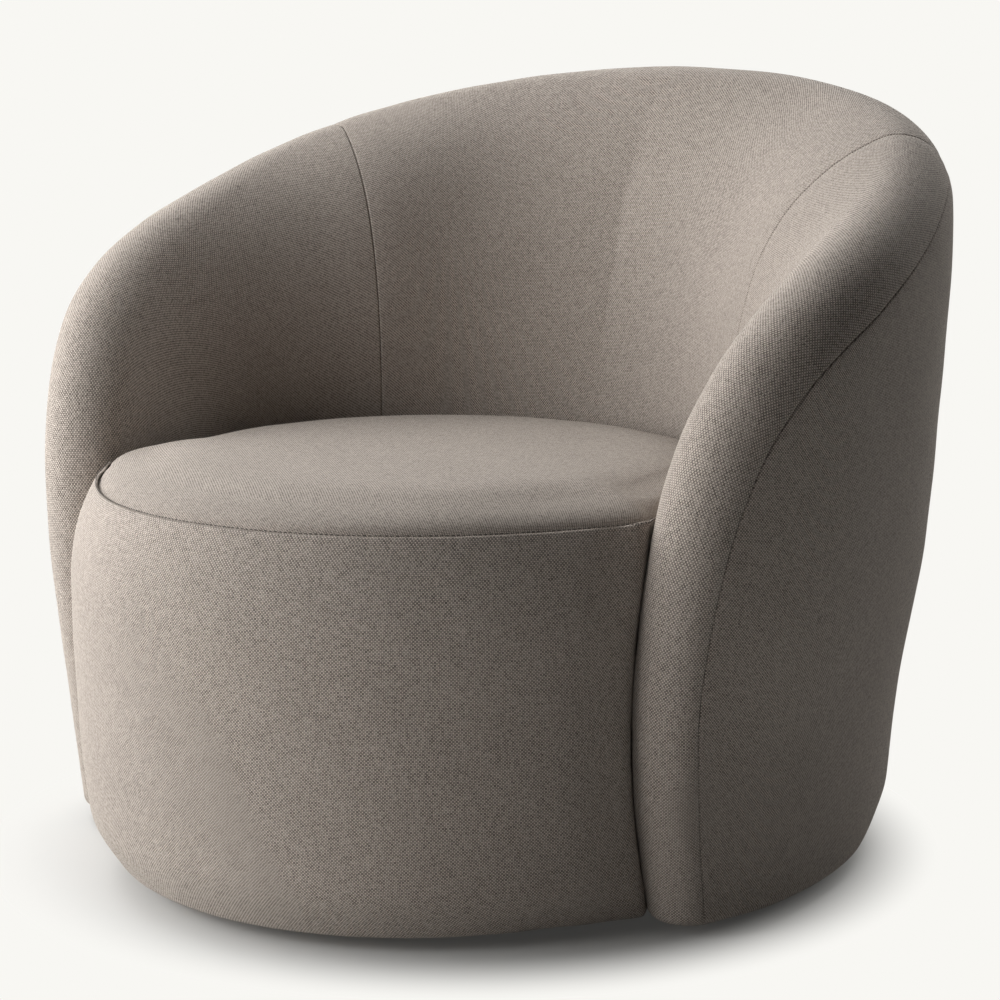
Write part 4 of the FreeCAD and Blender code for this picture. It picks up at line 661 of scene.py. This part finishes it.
# its rounded edge: rise and width where it is free, less where the shell holds it
SHOULDER_RISE = 18 * MM
MIDDLE_RISE = 13 * MM
SHOULDER_SHARE = 0.10
TUCKED_SHARE = 0.018
SHOULDER_EASE = 0.06
SHOULDER_START = -0.045
CUSHION_INSET = 2.5 * MM
CUSHION_DEPTH = 50 * MM
CUSHION_COLUMNS = 321
# rings of its closed form: shrink shares underneath, depth shares of the wall, top from edge to middle
UNDERSIDE_SHARES = (0.3, 0.7, 0.95, 1)
WALL_DEPTH_SHARES = (0.75, 0.5, 0.25, 0.08)
TOP_RINGS = 48
TOP_SHRINK = 0.96
TOP_POWER = 1.8


def cushion_rings(inset, crown):
    """Closed form of the seat cushion: flat underside, side wall and crowned top."""
    count = CUSHION_COLUMNS
    edge = seat_outline(SEAM_HEIGHT, count, 1, inset)
    free = smoothstep(0, SHOULDER_EASE, ARM_ROLL[1] - SHOULDER_START - edge[:, 1])
    rings = [seat_outline(SEAM_HEIGHT - CUSHION_DEPTH, count, shrink, inset) for shrink in UNDERSIDE_SHARES]
    for share in WALL_DEPTH_SHARES:
        rings.append(seat_outline(SEAM_HEIGHT - CUSHION_DEPTH * share, count, 1, inset))
    for k in range(TOP_RINGS):
        shrink = 1 - TOP_SHRINK * (k / (TOP_RINGS - 1)) ** TOP_POWER
        ring = seat_outline(SEAM_HEIGHT, count, shrink, inset)
        width = TUCKED_SHARE + (SHOULDER_SHARE - TUCKED_SHARE) * free
        shoulder = np.maximum(0, 1 - (1 - shrink) / width)
        rise = MIDDLE_RISE + (SHOULDER_RISE - MIDDLE_RISE) * free * shrink ** 3
        ring[:, 2] += rise * np.sqrt(1 - shoulder ** 2) + crown * (1 - shrink ** CROWN_FULLNESS)
        rings.append(ring)
    return np.array(rings)[:, :-1]


def closed_form(name, rings):
    """Closed mesh through rings, with its two ends filled."""
    rows, columns = rings.shape[:2]
    index = np.arange(rows * columns).reshape(rows, columns)
    beside = np.roll(index, -1, axis=1)
    faces = np.stack([index[:-1], beside[:-1], beside[1:], index[1:]], axis=-1).reshape(-1, 4)
    ends = [index[0][::-1].tolist(), index[-1].tolist()]
    return new_mesh(name, rings.reshape(-1, 3), faces.tolist() + ends)


def made_from(obj, name):
    """Mesh of an object with its modifiers applied, as a new object in its place."""
    graph = bpy.context.evaluated_depsgraph_get()
    mesh = bpy.data.meshes.new_from_object(obj.evaluated_get(graph))
    mesh.name = name
    result = add_object(name, mesh)
    bpy.data.objects.remove(obj)
    return result


def vertex_places(mesh):
    """Array of a mesh's points."""
    places = np.zeros(len(mesh.vertices) * 3)
    mesh.vertices.foreach_get("co", places)
    return places.reshape(-1, 3)


VOXEL = 5 * MM
PIN_DEPTH = 6 * MM
CLOTH = {
    "vertex_group_mass": "held", "quality": 5, "use_pressure": True, "uniform_pressure_force": 4,
    "tension_stiffness": 20, "compression_stiffness": 20,
}
LAST_FRAME = 20
SWELL_CAP = 9 * MM
SETTLING = 60
SETTLING_SHARE = 0.6
CREASES_KEPT = 0.06


def settled(mesh, shift):
    """Swell of a padded form as its foam leaves it: small creases spread out, a trace of them kept."""
    ends = np.zeros(len(mesh.edges) * 2, dtype=np.int32)
    mesh.edges.foreach_get("vertices", ends)
    first, second = ends[::2], ends[1::2]
    count = np.bincount(ends, minlength=len(shift))[:, None]
    smooth = shift.copy()
    for _ in range(SETTLING):
        total = np.zeros_like(smooth)
        np.add.at(total, first, smooth[second])
        np.add.at(total, second, smooth[first])
        smooth = (1 - SETTLING_SHARE) * smooth + SETTLING_SHARE * total / count
    return smooth + CREASES_KEPT * (shift - smooth)


def swollen(obj, name):
    """Remesh a closed form, let pressure swell what lies above the seam, and cap how far it moves."""
    remesh = obj.modifiers.new("voxels", "REMESH")
    remesh.mode = "VOXEL"
    remesh.voxel_size = VOXEL
    obj = made_from(obj, name + "_form")
    before = vertex_places(obj.data)
    pin = obj.vertex_groups.new(name="held")
    held = np.nonzero(before[:, 2] < SEAM_HEIGHT - PIN_DEPTH)[0]
    pin.add(held.tolist(), 1.0, "REPLACE")
    cloth = obj.modifiers.new("cloth", "CLOTH")
    for key, value in CLOTH.items():
        setattr(cloth.settings, key, value)
    cloth.settings.effector_weights.gravity = 0
    cloth.point_cache.frame_start = 1
    cloth.point_cache.frame_end = LAST_FRAME
    for step in range(1, LAST_FRAME + 1):
        bpy.context.scene.frame_set(step)
    obj = made_from(obj, name + "_swollen")
    bpy.context.scene.frame_set(1)
    shift = vertex_places(obj.data) - before
    far = np.linalg.norm(shift, axis=1, keepdims=True)
    shift = settled(obj.data, shift * np.minimum(1, SWELL_CAP / np.maximum(far, 1e-9)))
    obj.data.vertices.foreach_set("co", (before + shift).reshape(-1))
    obj.data.update()
    round_off = obj.modifiers.new("fine", "SUBSURF")
    round_off.levels = round_off.render_levels = 1
    return made_from(obj, name)


def seat_cushion():
    """Swollen cushion, its fabric map laid flat on top and unrolled over the edge."""
    crown = CROWN
    obj = swollen(closed_form("seat_blank", cushion_rings(CUSHION_INSET, crown)), "seat_cushion")
    places = vertex_places(obj.data)
    plan = places[:, :2] - (0, PLAN_CENTRE)
    over_edge = np.maximum(0, SEAM_HEIGHT + SHOULDER_RISE - places[:, 2:])
    plan = plan * (1 + over_edge / np.maximum(np.linalg.norm(plan, axis=1, keepdims=True), over_edge.max()))
    map_fabric(obj.data, plan)
    obj.data.shade_smooth()
    return obj


# where the band's two ends go behind the arms
BAND_END = -0.07
BAND_COLUMNS = 1101
BAND_LEVELS = np.concatenate([
    BOTTOM + np.linspace(0, 0.03, 14), np.linspace(0.05, SEAM_HEIGHT - 0.02, 60),
    SEAM_HEIGHT - np.array([0.014, 0.009, 0.006, 0.004, 0.0026, 0.0016, 0.0008, 0]),
])
# levels that tell the way the band faces and how long it is round
FACING_LEVEL, MEASURED_LEVEL = 30, 40


def seat_band():
    """Cover round the seat front, from near the floor to the seam under the cushion's edge."""
    points = np.array([seat_outline(z, BAND_COLUMNS) for z in BAND_LEVELS])
    points = points[:, points[-1, :, 1] < BAND_END]
    normals = grid_normals(points)
    middle = points.shape[1] // 2
    outward = normals if normals[FACING_LEVEL, middle, 1] < 0 else -normals
    around = distances(points, 1)[MEASURED_LEVEL][None, :] + np.zeros(points.shape[:2])
    drop = seam_drop(distances(points, 0, True), around) + undulation(points)
    moved = bottom_turn(points - outward * drop[..., None], outward, BAND_TURN_RADIUS)
    return grid_piece("seat_band", moved, np.stack([around, points[..., 2]], axis=-1), outward is not normals)


# Seam stitches

STITCH_PITCH = 4.6 * MM
STITCH_LENGTH = 3.2 * MM
STITCH_RADIUS = 0.42 * MM
STITCH_SIDES = 6
STITCH_STEPS = 8
# rings of one stitch: place along it, share of its radius
STITCH_RINGS = ((-0.5, 0.35), (-0.3, 1), (0.3, 1), (0.5, 0.35))
# a direction that no seam runs in
ASKEW = (0.31, 0.12, 0.94)


def stitches(name, path):
    """Row of short threads along a line of points."""
    count = int(lengths_along(path)[-1] / STITCH_PITCH)
    line = evenly(path, STITCH_STEPS * count + 1)
    tangents = unit(np.gradient(line, axis=0))
    points, faces = [], []
    for k in range(STITCH_STEPS // 2, STITCH_STEPS * count, STITCH_STEPS):
        middle, along = line[k], tangents[k]
        side = unit(np.cross(along, ASKEW))
        other = np.cross(along, side)
        base = len(points)
        for place, width in STITCH_RINGS:
            for s in range(STITCH_SIDES):
                sweep = math.tau * s / STITCH_SIDES
                across = side * math.cos(sweep) + other * math.sin(sweep)
                points.append(middle + along * STITCH_LENGTH * place + across * STITCH_RADIUS * width)
        last = base + (len(STITCH_RINGS) - 1) * STITCH_SIDES
        for ring in range(base, last, STITCH_SIDES):
            for s in range(STITCH_SIDES):
                a, b = ring + s, ring + (s + 1) % STITCH_SIDES
                faces.append((a, b, b + STITCH_SIDES, a + STITCH_SIDES))
        faces.append(tuple(base + s for s in reversed(range(STITCH_SIDES))))
        faces.append(tuple(last + s for s in range(STITCH_SIDES)))
    return new_mesh(name, np.array(points), faces)


INNER_THREADS = {"inner_seam_thread_right": INNER_SEAM_SHARE, "inner_seam_thread_left": 2 - INNER_SEAM_SHARE}
THREAD_DEPTH = 2.6 * MM
SEAT_THREAD_DEPTH = 1.8 * MM
OUTER_SEAM_START, OUTER_SEAM_COUNT = 0.02, 900
INNER_SEAM_START, INNER_SEAM_COUNT = 6 * MM, 300
SHARE_STEP = 0.002


def seam_lines():
    """Lines just under the surface along the outer seam, the two inner seams and the seat seam."""
    share = np.linspace(OUTER_SEAM_START, 2 - OUTER_SEAM_START, OUTER_SEAM_COUNT)
    seam = seam_place(share)
    edge = skin(share, seam)
    normal = unit(np.cross(np.gradient(edge, axis=0), skin(share, seam + MM) - skin(share, seam - MM)))
    normal = normal if normal[OUTER_SEAM_COUNT // 2, 1] > 0 else -normal
    lines = {"outer_seam_thread": edge - normal * THREAD_DEPTH}
    for name, at in INNER_THREADS.items():
        share = np.full(INNER_SEAM_COUNT, at)
        end = float(length_at("roll", at) + length_at("inside", at))
        place = np.linspace(float(seam_place(at)) + INNER_SEAM_START, end, INNER_SEAM_COUNT)
        edge = skin(share, place)
        beside = skin(share + SHARE_STEP, place) - skin(share - SHARE_STEP, place)
        normal = unit(np.cross(beside, np.gradient(edge, axis=0)))
        normal = normal if normal[20, 2] > 0 else -normal
        lines[name] = edge - normal * THREAD_DEPTH
    outline = seat_outline(SEAM_HEIGHT, BAND_COLUMNS)
    outline = outline[outline[:, 1] < BAND_END]
    inner = unit(np.array([0, np.mean(outline[:, 1]), SEAM_HEIGHT]) - outline)
    lines["seat_seam_thread"] = outline + inner * SEAT_THREAD_DEPTH
    return lines


# Materials


def srgb(red, green, blue):
    """Linear colour of an sRGB colour given in 0 to 255."""
    return tuple(((c / 255 + 0.055) / 1.055) ** 2.4 for c in (red, green, blue))


def add_node(tree, kind, inputs=None, **settings):
    """New node: first its settings, then each input set to a value or linked to another node's output."""
    node = tree.nodes.new("ShaderNode" + kind)
    for key, value in settings.items():
        setattr(node, key, value)
    for key, value in (inputs or {}).items():
        if isinstance(value, bpy.types.NodeSocket):
            tree.links.new(value, node.inputs[key])
        else:
            node.inputs[key].default_value = value
    return node


def new_material(name, color, roughness):
    """Material with its node tree and its shader."""
    material = bpy.data.materials.new(name)
    material.use_nodes = True
    shader = material.node_tree.nodes["Principled BSDF"]
    shader.inputs["Base Color"].default_value = (*color, 1)
    shader.inputs["Roughness"].default_value = roughness
    return material, material.node_tree, shader


def math_node(tree, operation, *values):
    """Result of an operation on numbers and outputs."""
    return add_node(tree, "Math", dict(enumerate(values)), operation=operation).outputs[0]


def noise_node(tree, vector, scale, detail):
    """Noise stretched by a scale along each axis."""
    mapping = add_node(tree, "Mapping", {"Scale": scale, "Vector": vector})
    texture = add_node(tree, "TexNoise", {"Scale": 1, "Detail": detail, "Vector": mapping.outputs[0]})
    return texture.outputs["Fac"]


def color_mix(tree, factor, first, second):
    """Colour between two, by a factor."""
    inputs = {"A": (*first, 1), "B": (*second, 1), "Factor": factor}
    return add_node(tree, "Mix", inputs, data_type="RGBA").outputs["Result"]


def ranged(tree, value, low, high):
    """Value brought from between low and high to between 0 and 1."""
    return add_node(tree, "MapRange", {"From Min": low, "From Max": high, "Value": value}).outputs[0]


def finish_shader(tree, shader, color, roughness, height, strength, distance):
    """Give a shader its colour and roughness, and let a height bump it."""
    bump = add_node(tree, "Bump", {"Strength": strength, "Distance": distance, "Height": height})
    for key, output in (("Base Color", color), ("Roughness", roughness), ("Normal", bump.outputs[0])):
        tree.links.new(output, shader.inputs[key])


FABRIC_DARK = srgb(49, 40, 34)
FABRIC_PALE = srgb(213, 201, 190)
THREAD = 1.5 * MM
THREAD_ROUNDNESS = 0.6
# how long a thread keeps one shade, and how quickly shades change from thread to thread
STREAK_SCALE, THREAD_CHANGE = 70, 0.9
# what each pattern adds to the fabric's colour: height (painted shade in the gaps between threads), thread
# shades, top thread, own shade, heather, patches
PATTERN_WEIGHTS = (0.75, 0.20, 0.60, 0.28, 0.10, 0.05)
PATTERN_START = 0.47
SHEEN = {
    "Sheen Weight": 0.18, "Sheen Roughness": 0.45, "Sheen Tint": (*srgb(235, 230, 222), 1),
    "Specular IOR Level": 0.2,
}


def weave(tree, vector, thread):
    """Plain weave: height of its threads, their shades, which thread is on top, each crossing's own shade."""
    split = add_node(tree, "SeparateXYZ", {0: vector})
    turns = [math_node(tree, "MULTIPLY", split.outputs[k], math.pi / thread) for k in range(2)]
    waves = [math_node(tree, "SINE", turn) for turn in turns]
    on_top = ranged(tree, math_node(tree, "MULTIPLY", *waves), -0.25, 0.25)
    cell = add_node(tree, "VectorMath", {0: vector, 1: (1 / thread,) * 3}, operation="MULTIPLY")
    corner = add_node(tree, "VectorMath", {0: cell.outputs[0]}, operation="FLOOR")
    own = add_node(tree, "TexWhiteNoise", {"Vector": corner.outputs[0]}, noise_dimensions="3D")
    height = math_node(tree, "MULTIPLY", *(
        math_node(tree, "POWER", math_node(tree, "ABSOLUTE", wave), THREAD_ROUNDNESS) for wave in waves
    ))
    warp_shade = noise_node(tree, vector, (THREAD_CHANGE / thread, STREAK_SCALE, 1), 1)
    weft_shade = noise_node(tree, vector, (STREAK_SCALE, THREAD_CHANGE / thread, 1), 1)
    shades = add_node(tree, "Mix", {"Factor": on_top, "A": weft_shade, "B": warp_shade}).outputs["Result"]
    return height, ranged(tree, shades, 0.25, 0.75), on_top, own.outputs["Value"]


def fabric_material(name, dark, pale):
    """Linen-look weave of heathered threads with painted shade in the gaps between them, with slow patches of
    shade where it is handled and worn.
    """
    material, tree, shader = new_material(name, pale, 0.88)
    uv = add_node(tree, "UVMap", uv_map="fabric")
    height, shade, on_top, own = weave(tree, uv.outputs[0], THREAD)
    place = add_node(tree, "TexCoord").outputs["Object"]
    patches = ranged(tree, noise_node(tree, place, (9, 9, 9), 3), 0.2, 0.8)
    heather = ranged(tree, noise_node(tree, place, (330, 330, 330), 2), 0.3, 0.7)
    # the threads' height darkens the colour in the gaps between them: painted shade
    light = 0
    for pattern, weight in zip((height, shade, on_top, own, heather, patches), PATTERN_WEIGHTS):
        light = math_node(tree, "MULTIPLY_ADD", pattern, weight, light)
    light = math_node(tree, "SUBTRACT", light, PATTERN_START)
    rough = math_node(tree, "MULTIPLY_ADD", patches, -0.08, 0.93)
    relief = math_node(tree, "MULTIPLY_ADD", shade, 0.4, height)
    finish_shader(tree, shader, color_mix(tree, light, dark, pale), rough, relief, 0.65, 0.45 * MM)
    for key, value in SHEEN.items():
        shader.inputs[key].default_value = value
    return material


def grained(name, dark, pale, scale, roughness, metallic=0.0, bump=0.1, rings=0.0):
    """Solid material with a stretched grain, slow patches and faint wear in its colour, gloss and surface."""
    material, tree, shader = new_material(name, pale, roughness)
    shader.inputs["Metallic"].default_value = metallic
    place = add_node(tree, "TexCoord").outputs["Object"]
    grain = noise_node(tree, place, scale, 4)
    patches = noise_node(tree, place, (14, 14, 14), 3)
    value = math_node(tree, "MULTIPLY_ADD", patches, 0.45, math_node(tree, "MULTIPLY", grain, 0.75))
    if rings:
        split = add_node(tree, "SeparateXYZ", {0: place})
        layers = math_node(tree, "SINE", math_node(tree, "MULTIPLY", split.outputs[2], math.tau / rings))
        value = math_node(tree, "MULTIPLY_ADD", layers, 0.10, value)
    value = ranged(tree, value, 0.35, 0.85)
    rough = math_node(tree, "MULTIPLY_ADD", value, 0.16, roughness - 0.08)
    finish_shader(tree, shader, color_mix(tree, value, dark, pale), rough, grain, bump, 0.3 * MM)
    return material


def woven(name, dark, pale, thread, roughness):
    """Woven band or cloth of a hidden part, on its own place in the object."""
    material, tree, shader = new_material(name, pale, roughness)
    height, shade, _, _ = weave(tree, add_node(tree, "TexCoord").outputs["Object"], thread)
    # the threads' height darkens the colour in the gaps between them: painted shade
    light = math_node(tree, "MULTIPLY_ADD", shade, 0.5, math_node(tree, "MULTIPLY", height, 0.5))
    rough = math_node(tree, "MULTIPLY_ADD", shade, 0.1, roughness - 0.05)
    finish_shader(tree, shader, color_mix(tree, light, dark, pale), rough, height, 0.5, 0.4 * MM)
    return material


# hidden parts: dark and pale colour, scale of the grain or width of a thread, roughness, what else differs
HIDDEN = {
    "black_cloth": (woven, (16, 16, 17), (44, 44, 46), 0.8 * MM, 0.9, {}),
    "foam": (grained, (196, 188, 160), (232, 226, 205), (900, 900, 900), 0.95, {"bump": 0.5}),
    "felt": (grained, (84, 84, 86), (150, 150, 152), (700, 700, 700), 0.97, {"bump": 0.6}),
    "webbing": (woven, (38, 34, 30), (112, 100, 84), 1.6 * MM, 0.85, {}),
    "fibreboard": (grained, (96, 74, 50), (140, 112, 80), (420, 420, 420), 0.8, {"bump": 0.2}),
    "plywood": (grained, (164, 126, 82), (214, 182, 136), (60, 60, 7), 0.62, {"rings": 3.0 * MM}),
    "stained_plywood": (grained, (20, 16, 13), (52, 42, 34), (60, 60, 7), 0.5, {"rings": 3.0 * MM}),
    "glide_plastic": (grained, (24, 24, 25), (48, 48, 50), (900, 900, 900), 0.55, {}),
    "black_steel": (grained, (18, 18, 19), (42, 42, 44), (500, 500, 500), 0.42, {"metallic": 0.6}),
    "zinc_steel": (grained, (126, 128, 132), (190, 192, 196), (240, 240, 240), 0.34, {"metallic": 1.0}),
    "ball_steel": (
        grained, (150, 152, 156), (214, 216, 220), (90, 90, 90), 0.16, {"metallic": 1.0, "bump": 0.02},
    ),
    "cage_nylon": (grained, (196, 192, 178), (228, 225, 214), (600, 600, 600), 0.5, {}),
}


def finish_hidden_nodes():
    """Give each part that no piece stands for the material of its slot."""
    materials = {}
    for name, (make, dark, pale, size, rough, more) in HIDDEN.items():
        materials[name] = make(name, srgb(*dark), srgb(*pale), size, rough, **more)
    for part in frame["record"]["subparts"]:
        material = materials.get(part.get("material_slot", "plywood"))
        node = frame["nodes"][part["node"]]
        if material is None:
            continue
        if not node.data.materials:
            node.data.materials.append(material)
        for slot in node.material_slots:
            slot.material = material


# Pieces


def dress(obj, material, body, slot, *nodes):
    """Give a piece its material, hide the nodes it stands for and attach it to the body that carries it; its
    slot is not used.
    """
    obj.data.materials.clear()
    obj.data.materials.append(material)
    if nodes:
        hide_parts(*nodes)
    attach(obj, body)


def build_chair():
    """All upholstered pieces and their stitches."""
    fabric = fabric_material("greige_weave", FABRIC_DARK, FABRIC_PALE)
    thread = grained("seam_thread", srgb(40, 36, 32), srgb(86, 79, 72), (900, 900, 900), 0.85)
    right_seam, left_seam = INNER_SEAM_SHARES
    right = upper_panel("arm_right", 0.0, right_seam, [1], ARM_COLUMNS)
    left = upper_panel("arm_left", left_seam, 2.0, [0], ARM_COLUMNS)
    back = upper_panel("inside_back", right_seam, left_seam, [0, 1], BACK_COLUMNS)
    outside_right = outside_panel("outside_right", 1)
    outside_left = outside_panel("outside_left", -1)
    cushion = seat_cushion()
    band = seat_band()
    for piece, slot, *nodes in (
        (right, "inside_fabric", "arm_panel_right"),
        (left, "inside_fabric", "arm_panel_left"),
        (back, "inside_fabric", "inside_back_cover", "roll_foam"),
        (outside_right, "outside_fabric", "outside_cover_right"),
        (outside_left, "outside_fabric", "outside_cover_left"),
        (cushion, "seat_fabric", "seat_top_cover", "seat_foam"),
        (band, "seat_fabric", "seat_band_cover", "seat_band_foam"),
    ):
        dress(piece, fabric, "seat", slot, *nodes)
    for name, line in seam_lines().items():
        slot = "seat_fabric" if name == "seat_seam_thread" else "outside_fabric"
        dress(stitches(name, line), thread, "seat", slot)


build_chair()
finish_hidden_nodes()


# Stage, light and camera

BACKGROUND = (*srgb(248, 247, 243), 1)
FLOOR_SIZE = 30
FLOOR_LEVEL = -0.5 * MM
NEAR_GREY = (0.62, 0.62, 0.61, 1)
NEAR_GLOW = 0.04
LIT_GREY = (0.7, 0.7, 0.69, 1)
# distance from the plan centre at which the near floor begins to fade and is gone
FADE_FROM, FADE_TO = 0.36, 0.47
AMBIENT = 0.01


def empty_tree(owner):
    """Node tree of a material or a world, without its nodes."""
    owner.use_nodes = True
    owner.node_tree.nodes.clear()
    return owner.node_tree


def mixed(tree, factor, first, second):
    """Mix of two shaders by a factor."""
    return add_node(tree, "MixShader", {0: factor, 1: first.outputs[0], 2: second.outputs[0]})


def clear_rays(tree):
    """One for rays that come straight from the camera or by way of a gloss or a clear piece, else zero."""
    rays = add_node(tree, "LightPath").outputs
    total = rays["Is Camera Ray"]
    for name in ("Is Glossy Ray", "Is Transmission Ray"):
        total = add_node(tree, "Math", {0: total, 1: rays[name]}, operation="ADD", use_clamp=True).outputs[0]
    return total


def set_floor():
    """Floor that takes the chair's shadow near it and shows as the background farther off."""
    bpy.ops.mesh.primitive_plane_add(size=FLOOR_SIZE, location=(0, 0, FLOOR_LEVEL))
    floor = bpy.context.object
    floor.name = "floor"
    material = bpy.data.materials.new("pale_floor")
    tree = empty_tree(material)
    diffuse = add_node(tree, "BsdfDiffuse", {"Color": NEAR_GREY})
    near_glow = add_node(tree, "Emission", {"Color": BACKGROUND, "Strength": NEAR_GLOW})
    near = add_node(tree, "AddShader", {0: diffuse.outputs[0], 1: near_glow.outputs[0]})
    glow = add_node(tree, "Emission", {"Color": BACKGROUND})
    position = add_node(tree, "NewGeometry").outputs["Position"]
    about = add_node(tree, "VectorMath", {0: position, 1: (0, PLAN_CENTRE, 0)}, operation="SUBTRACT")
    length = add_node(tree, "VectorMath", {0: about.outputs[0]}, operation="LENGTH")
    fade = {"From Min": FADE_FROM, "From Max": FADE_TO, "Value": length.outputs["Value"]}
    fade = add_node(tree, "MapRange", fade, interpolation_type="SMOOTHSTEP")
    seen = mixed(tree, fade.outputs[0], near, glow)
    plain = add_node(tree, "BsdfDiffuse", {"Color": LIT_GREY})
    add_node(tree, "OutputMaterial", {0: mixed(tree, clear_rays(tree), plain, seen).outputs[0]})
    floor.data.materials.append(material)


def set_world():
    """Faint even light, with the background's colour where rays see it."""
    world = bpy.data.worlds.new("studio")
    bpy.context.scene.world = world
    tree = empty_tree(world)
    ambient = add_node(tree, "Background", {"Color": (1, 1, 1, 1), "Strength": AMBIENT})
    seen = add_node(tree, "Background", {"Color": BACKGROUND})
    add_node(tree, "OutputWorld", {0: mixed(tree, clear_rays(tree), ambient, seen).outputs[0]})


def aim(obj, target, turn, tilt, distance):
    """Point an object at a target from a turn in degrees, from -Y towards +X, and a tilt above the floor."""
    turn, tilt = math.radians(turn), math.radians(tilt)
    away = Vector((math.sin(turn) * math.cos(tilt), -math.cos(turn) * math.cos(tilt), math.sin(tilt)))
    obj.location = target + away * distance
    obj.rotation_euler = (-away).to_track_quat("-Z", "Y").to_euler()


LAMP_DISTANCE = 2.6
LAMP_TARGET = Vector((0, 0, 0.4))
# turn, tilt, width and power of each lamp
LAMPS = {
    "front_left": (-30, 15, 1.2, 36),
    "key": (-55, 15, 1.2, 25),
    "side": (-80, 15, 1.2, 37),
    "high_side": (-100, 45, 1.4, 35),
    "behind": (180, 40, 1.6, 41),
    "overhead": (0, 85, 1.6, 2),
}


def lamp(name, turn, tilt, width, power):
    """Soft square lamp aimed at the chair."""
    data = bpy.data.lights.new(name, "AREA")
    data.shape = "SQUARE"
    data.size = width
    data.energy = power
    aim(add_object(name, data), LAMP_TARGET, turn, tilt, LAMP_DISTANCE)


CAMERA_TURN = 31.97
CAMERA_TILT = 10.02
CAMERA_DISTANCE = 2.4753
CAMERA_TARGET = Vector((0.04103, PLAN_CENTRE, 0.3388))
CAMERA_LENS = 91.93


def camera():
    """Camera of the photo, fitted to the chair's outline."""
    data = bpy.data.cameras.new("camera")
    data.lens = CAMERA_LENS
    obj = add_object("camera", data)
    aim(obj, CAMERA_TARGET, CAMERA_TURN, CAMERA_TILT, CAMERA_DISTANCE)
    bpy.context.scene.camera = obj


set_floor()
set_world()
for lamp_name, lamp_values in LAMPS.items():
    lamp(lamp_name, *lamp_values)
camera()
bpy.context.scene.view_settings.view_transform = "Standard"
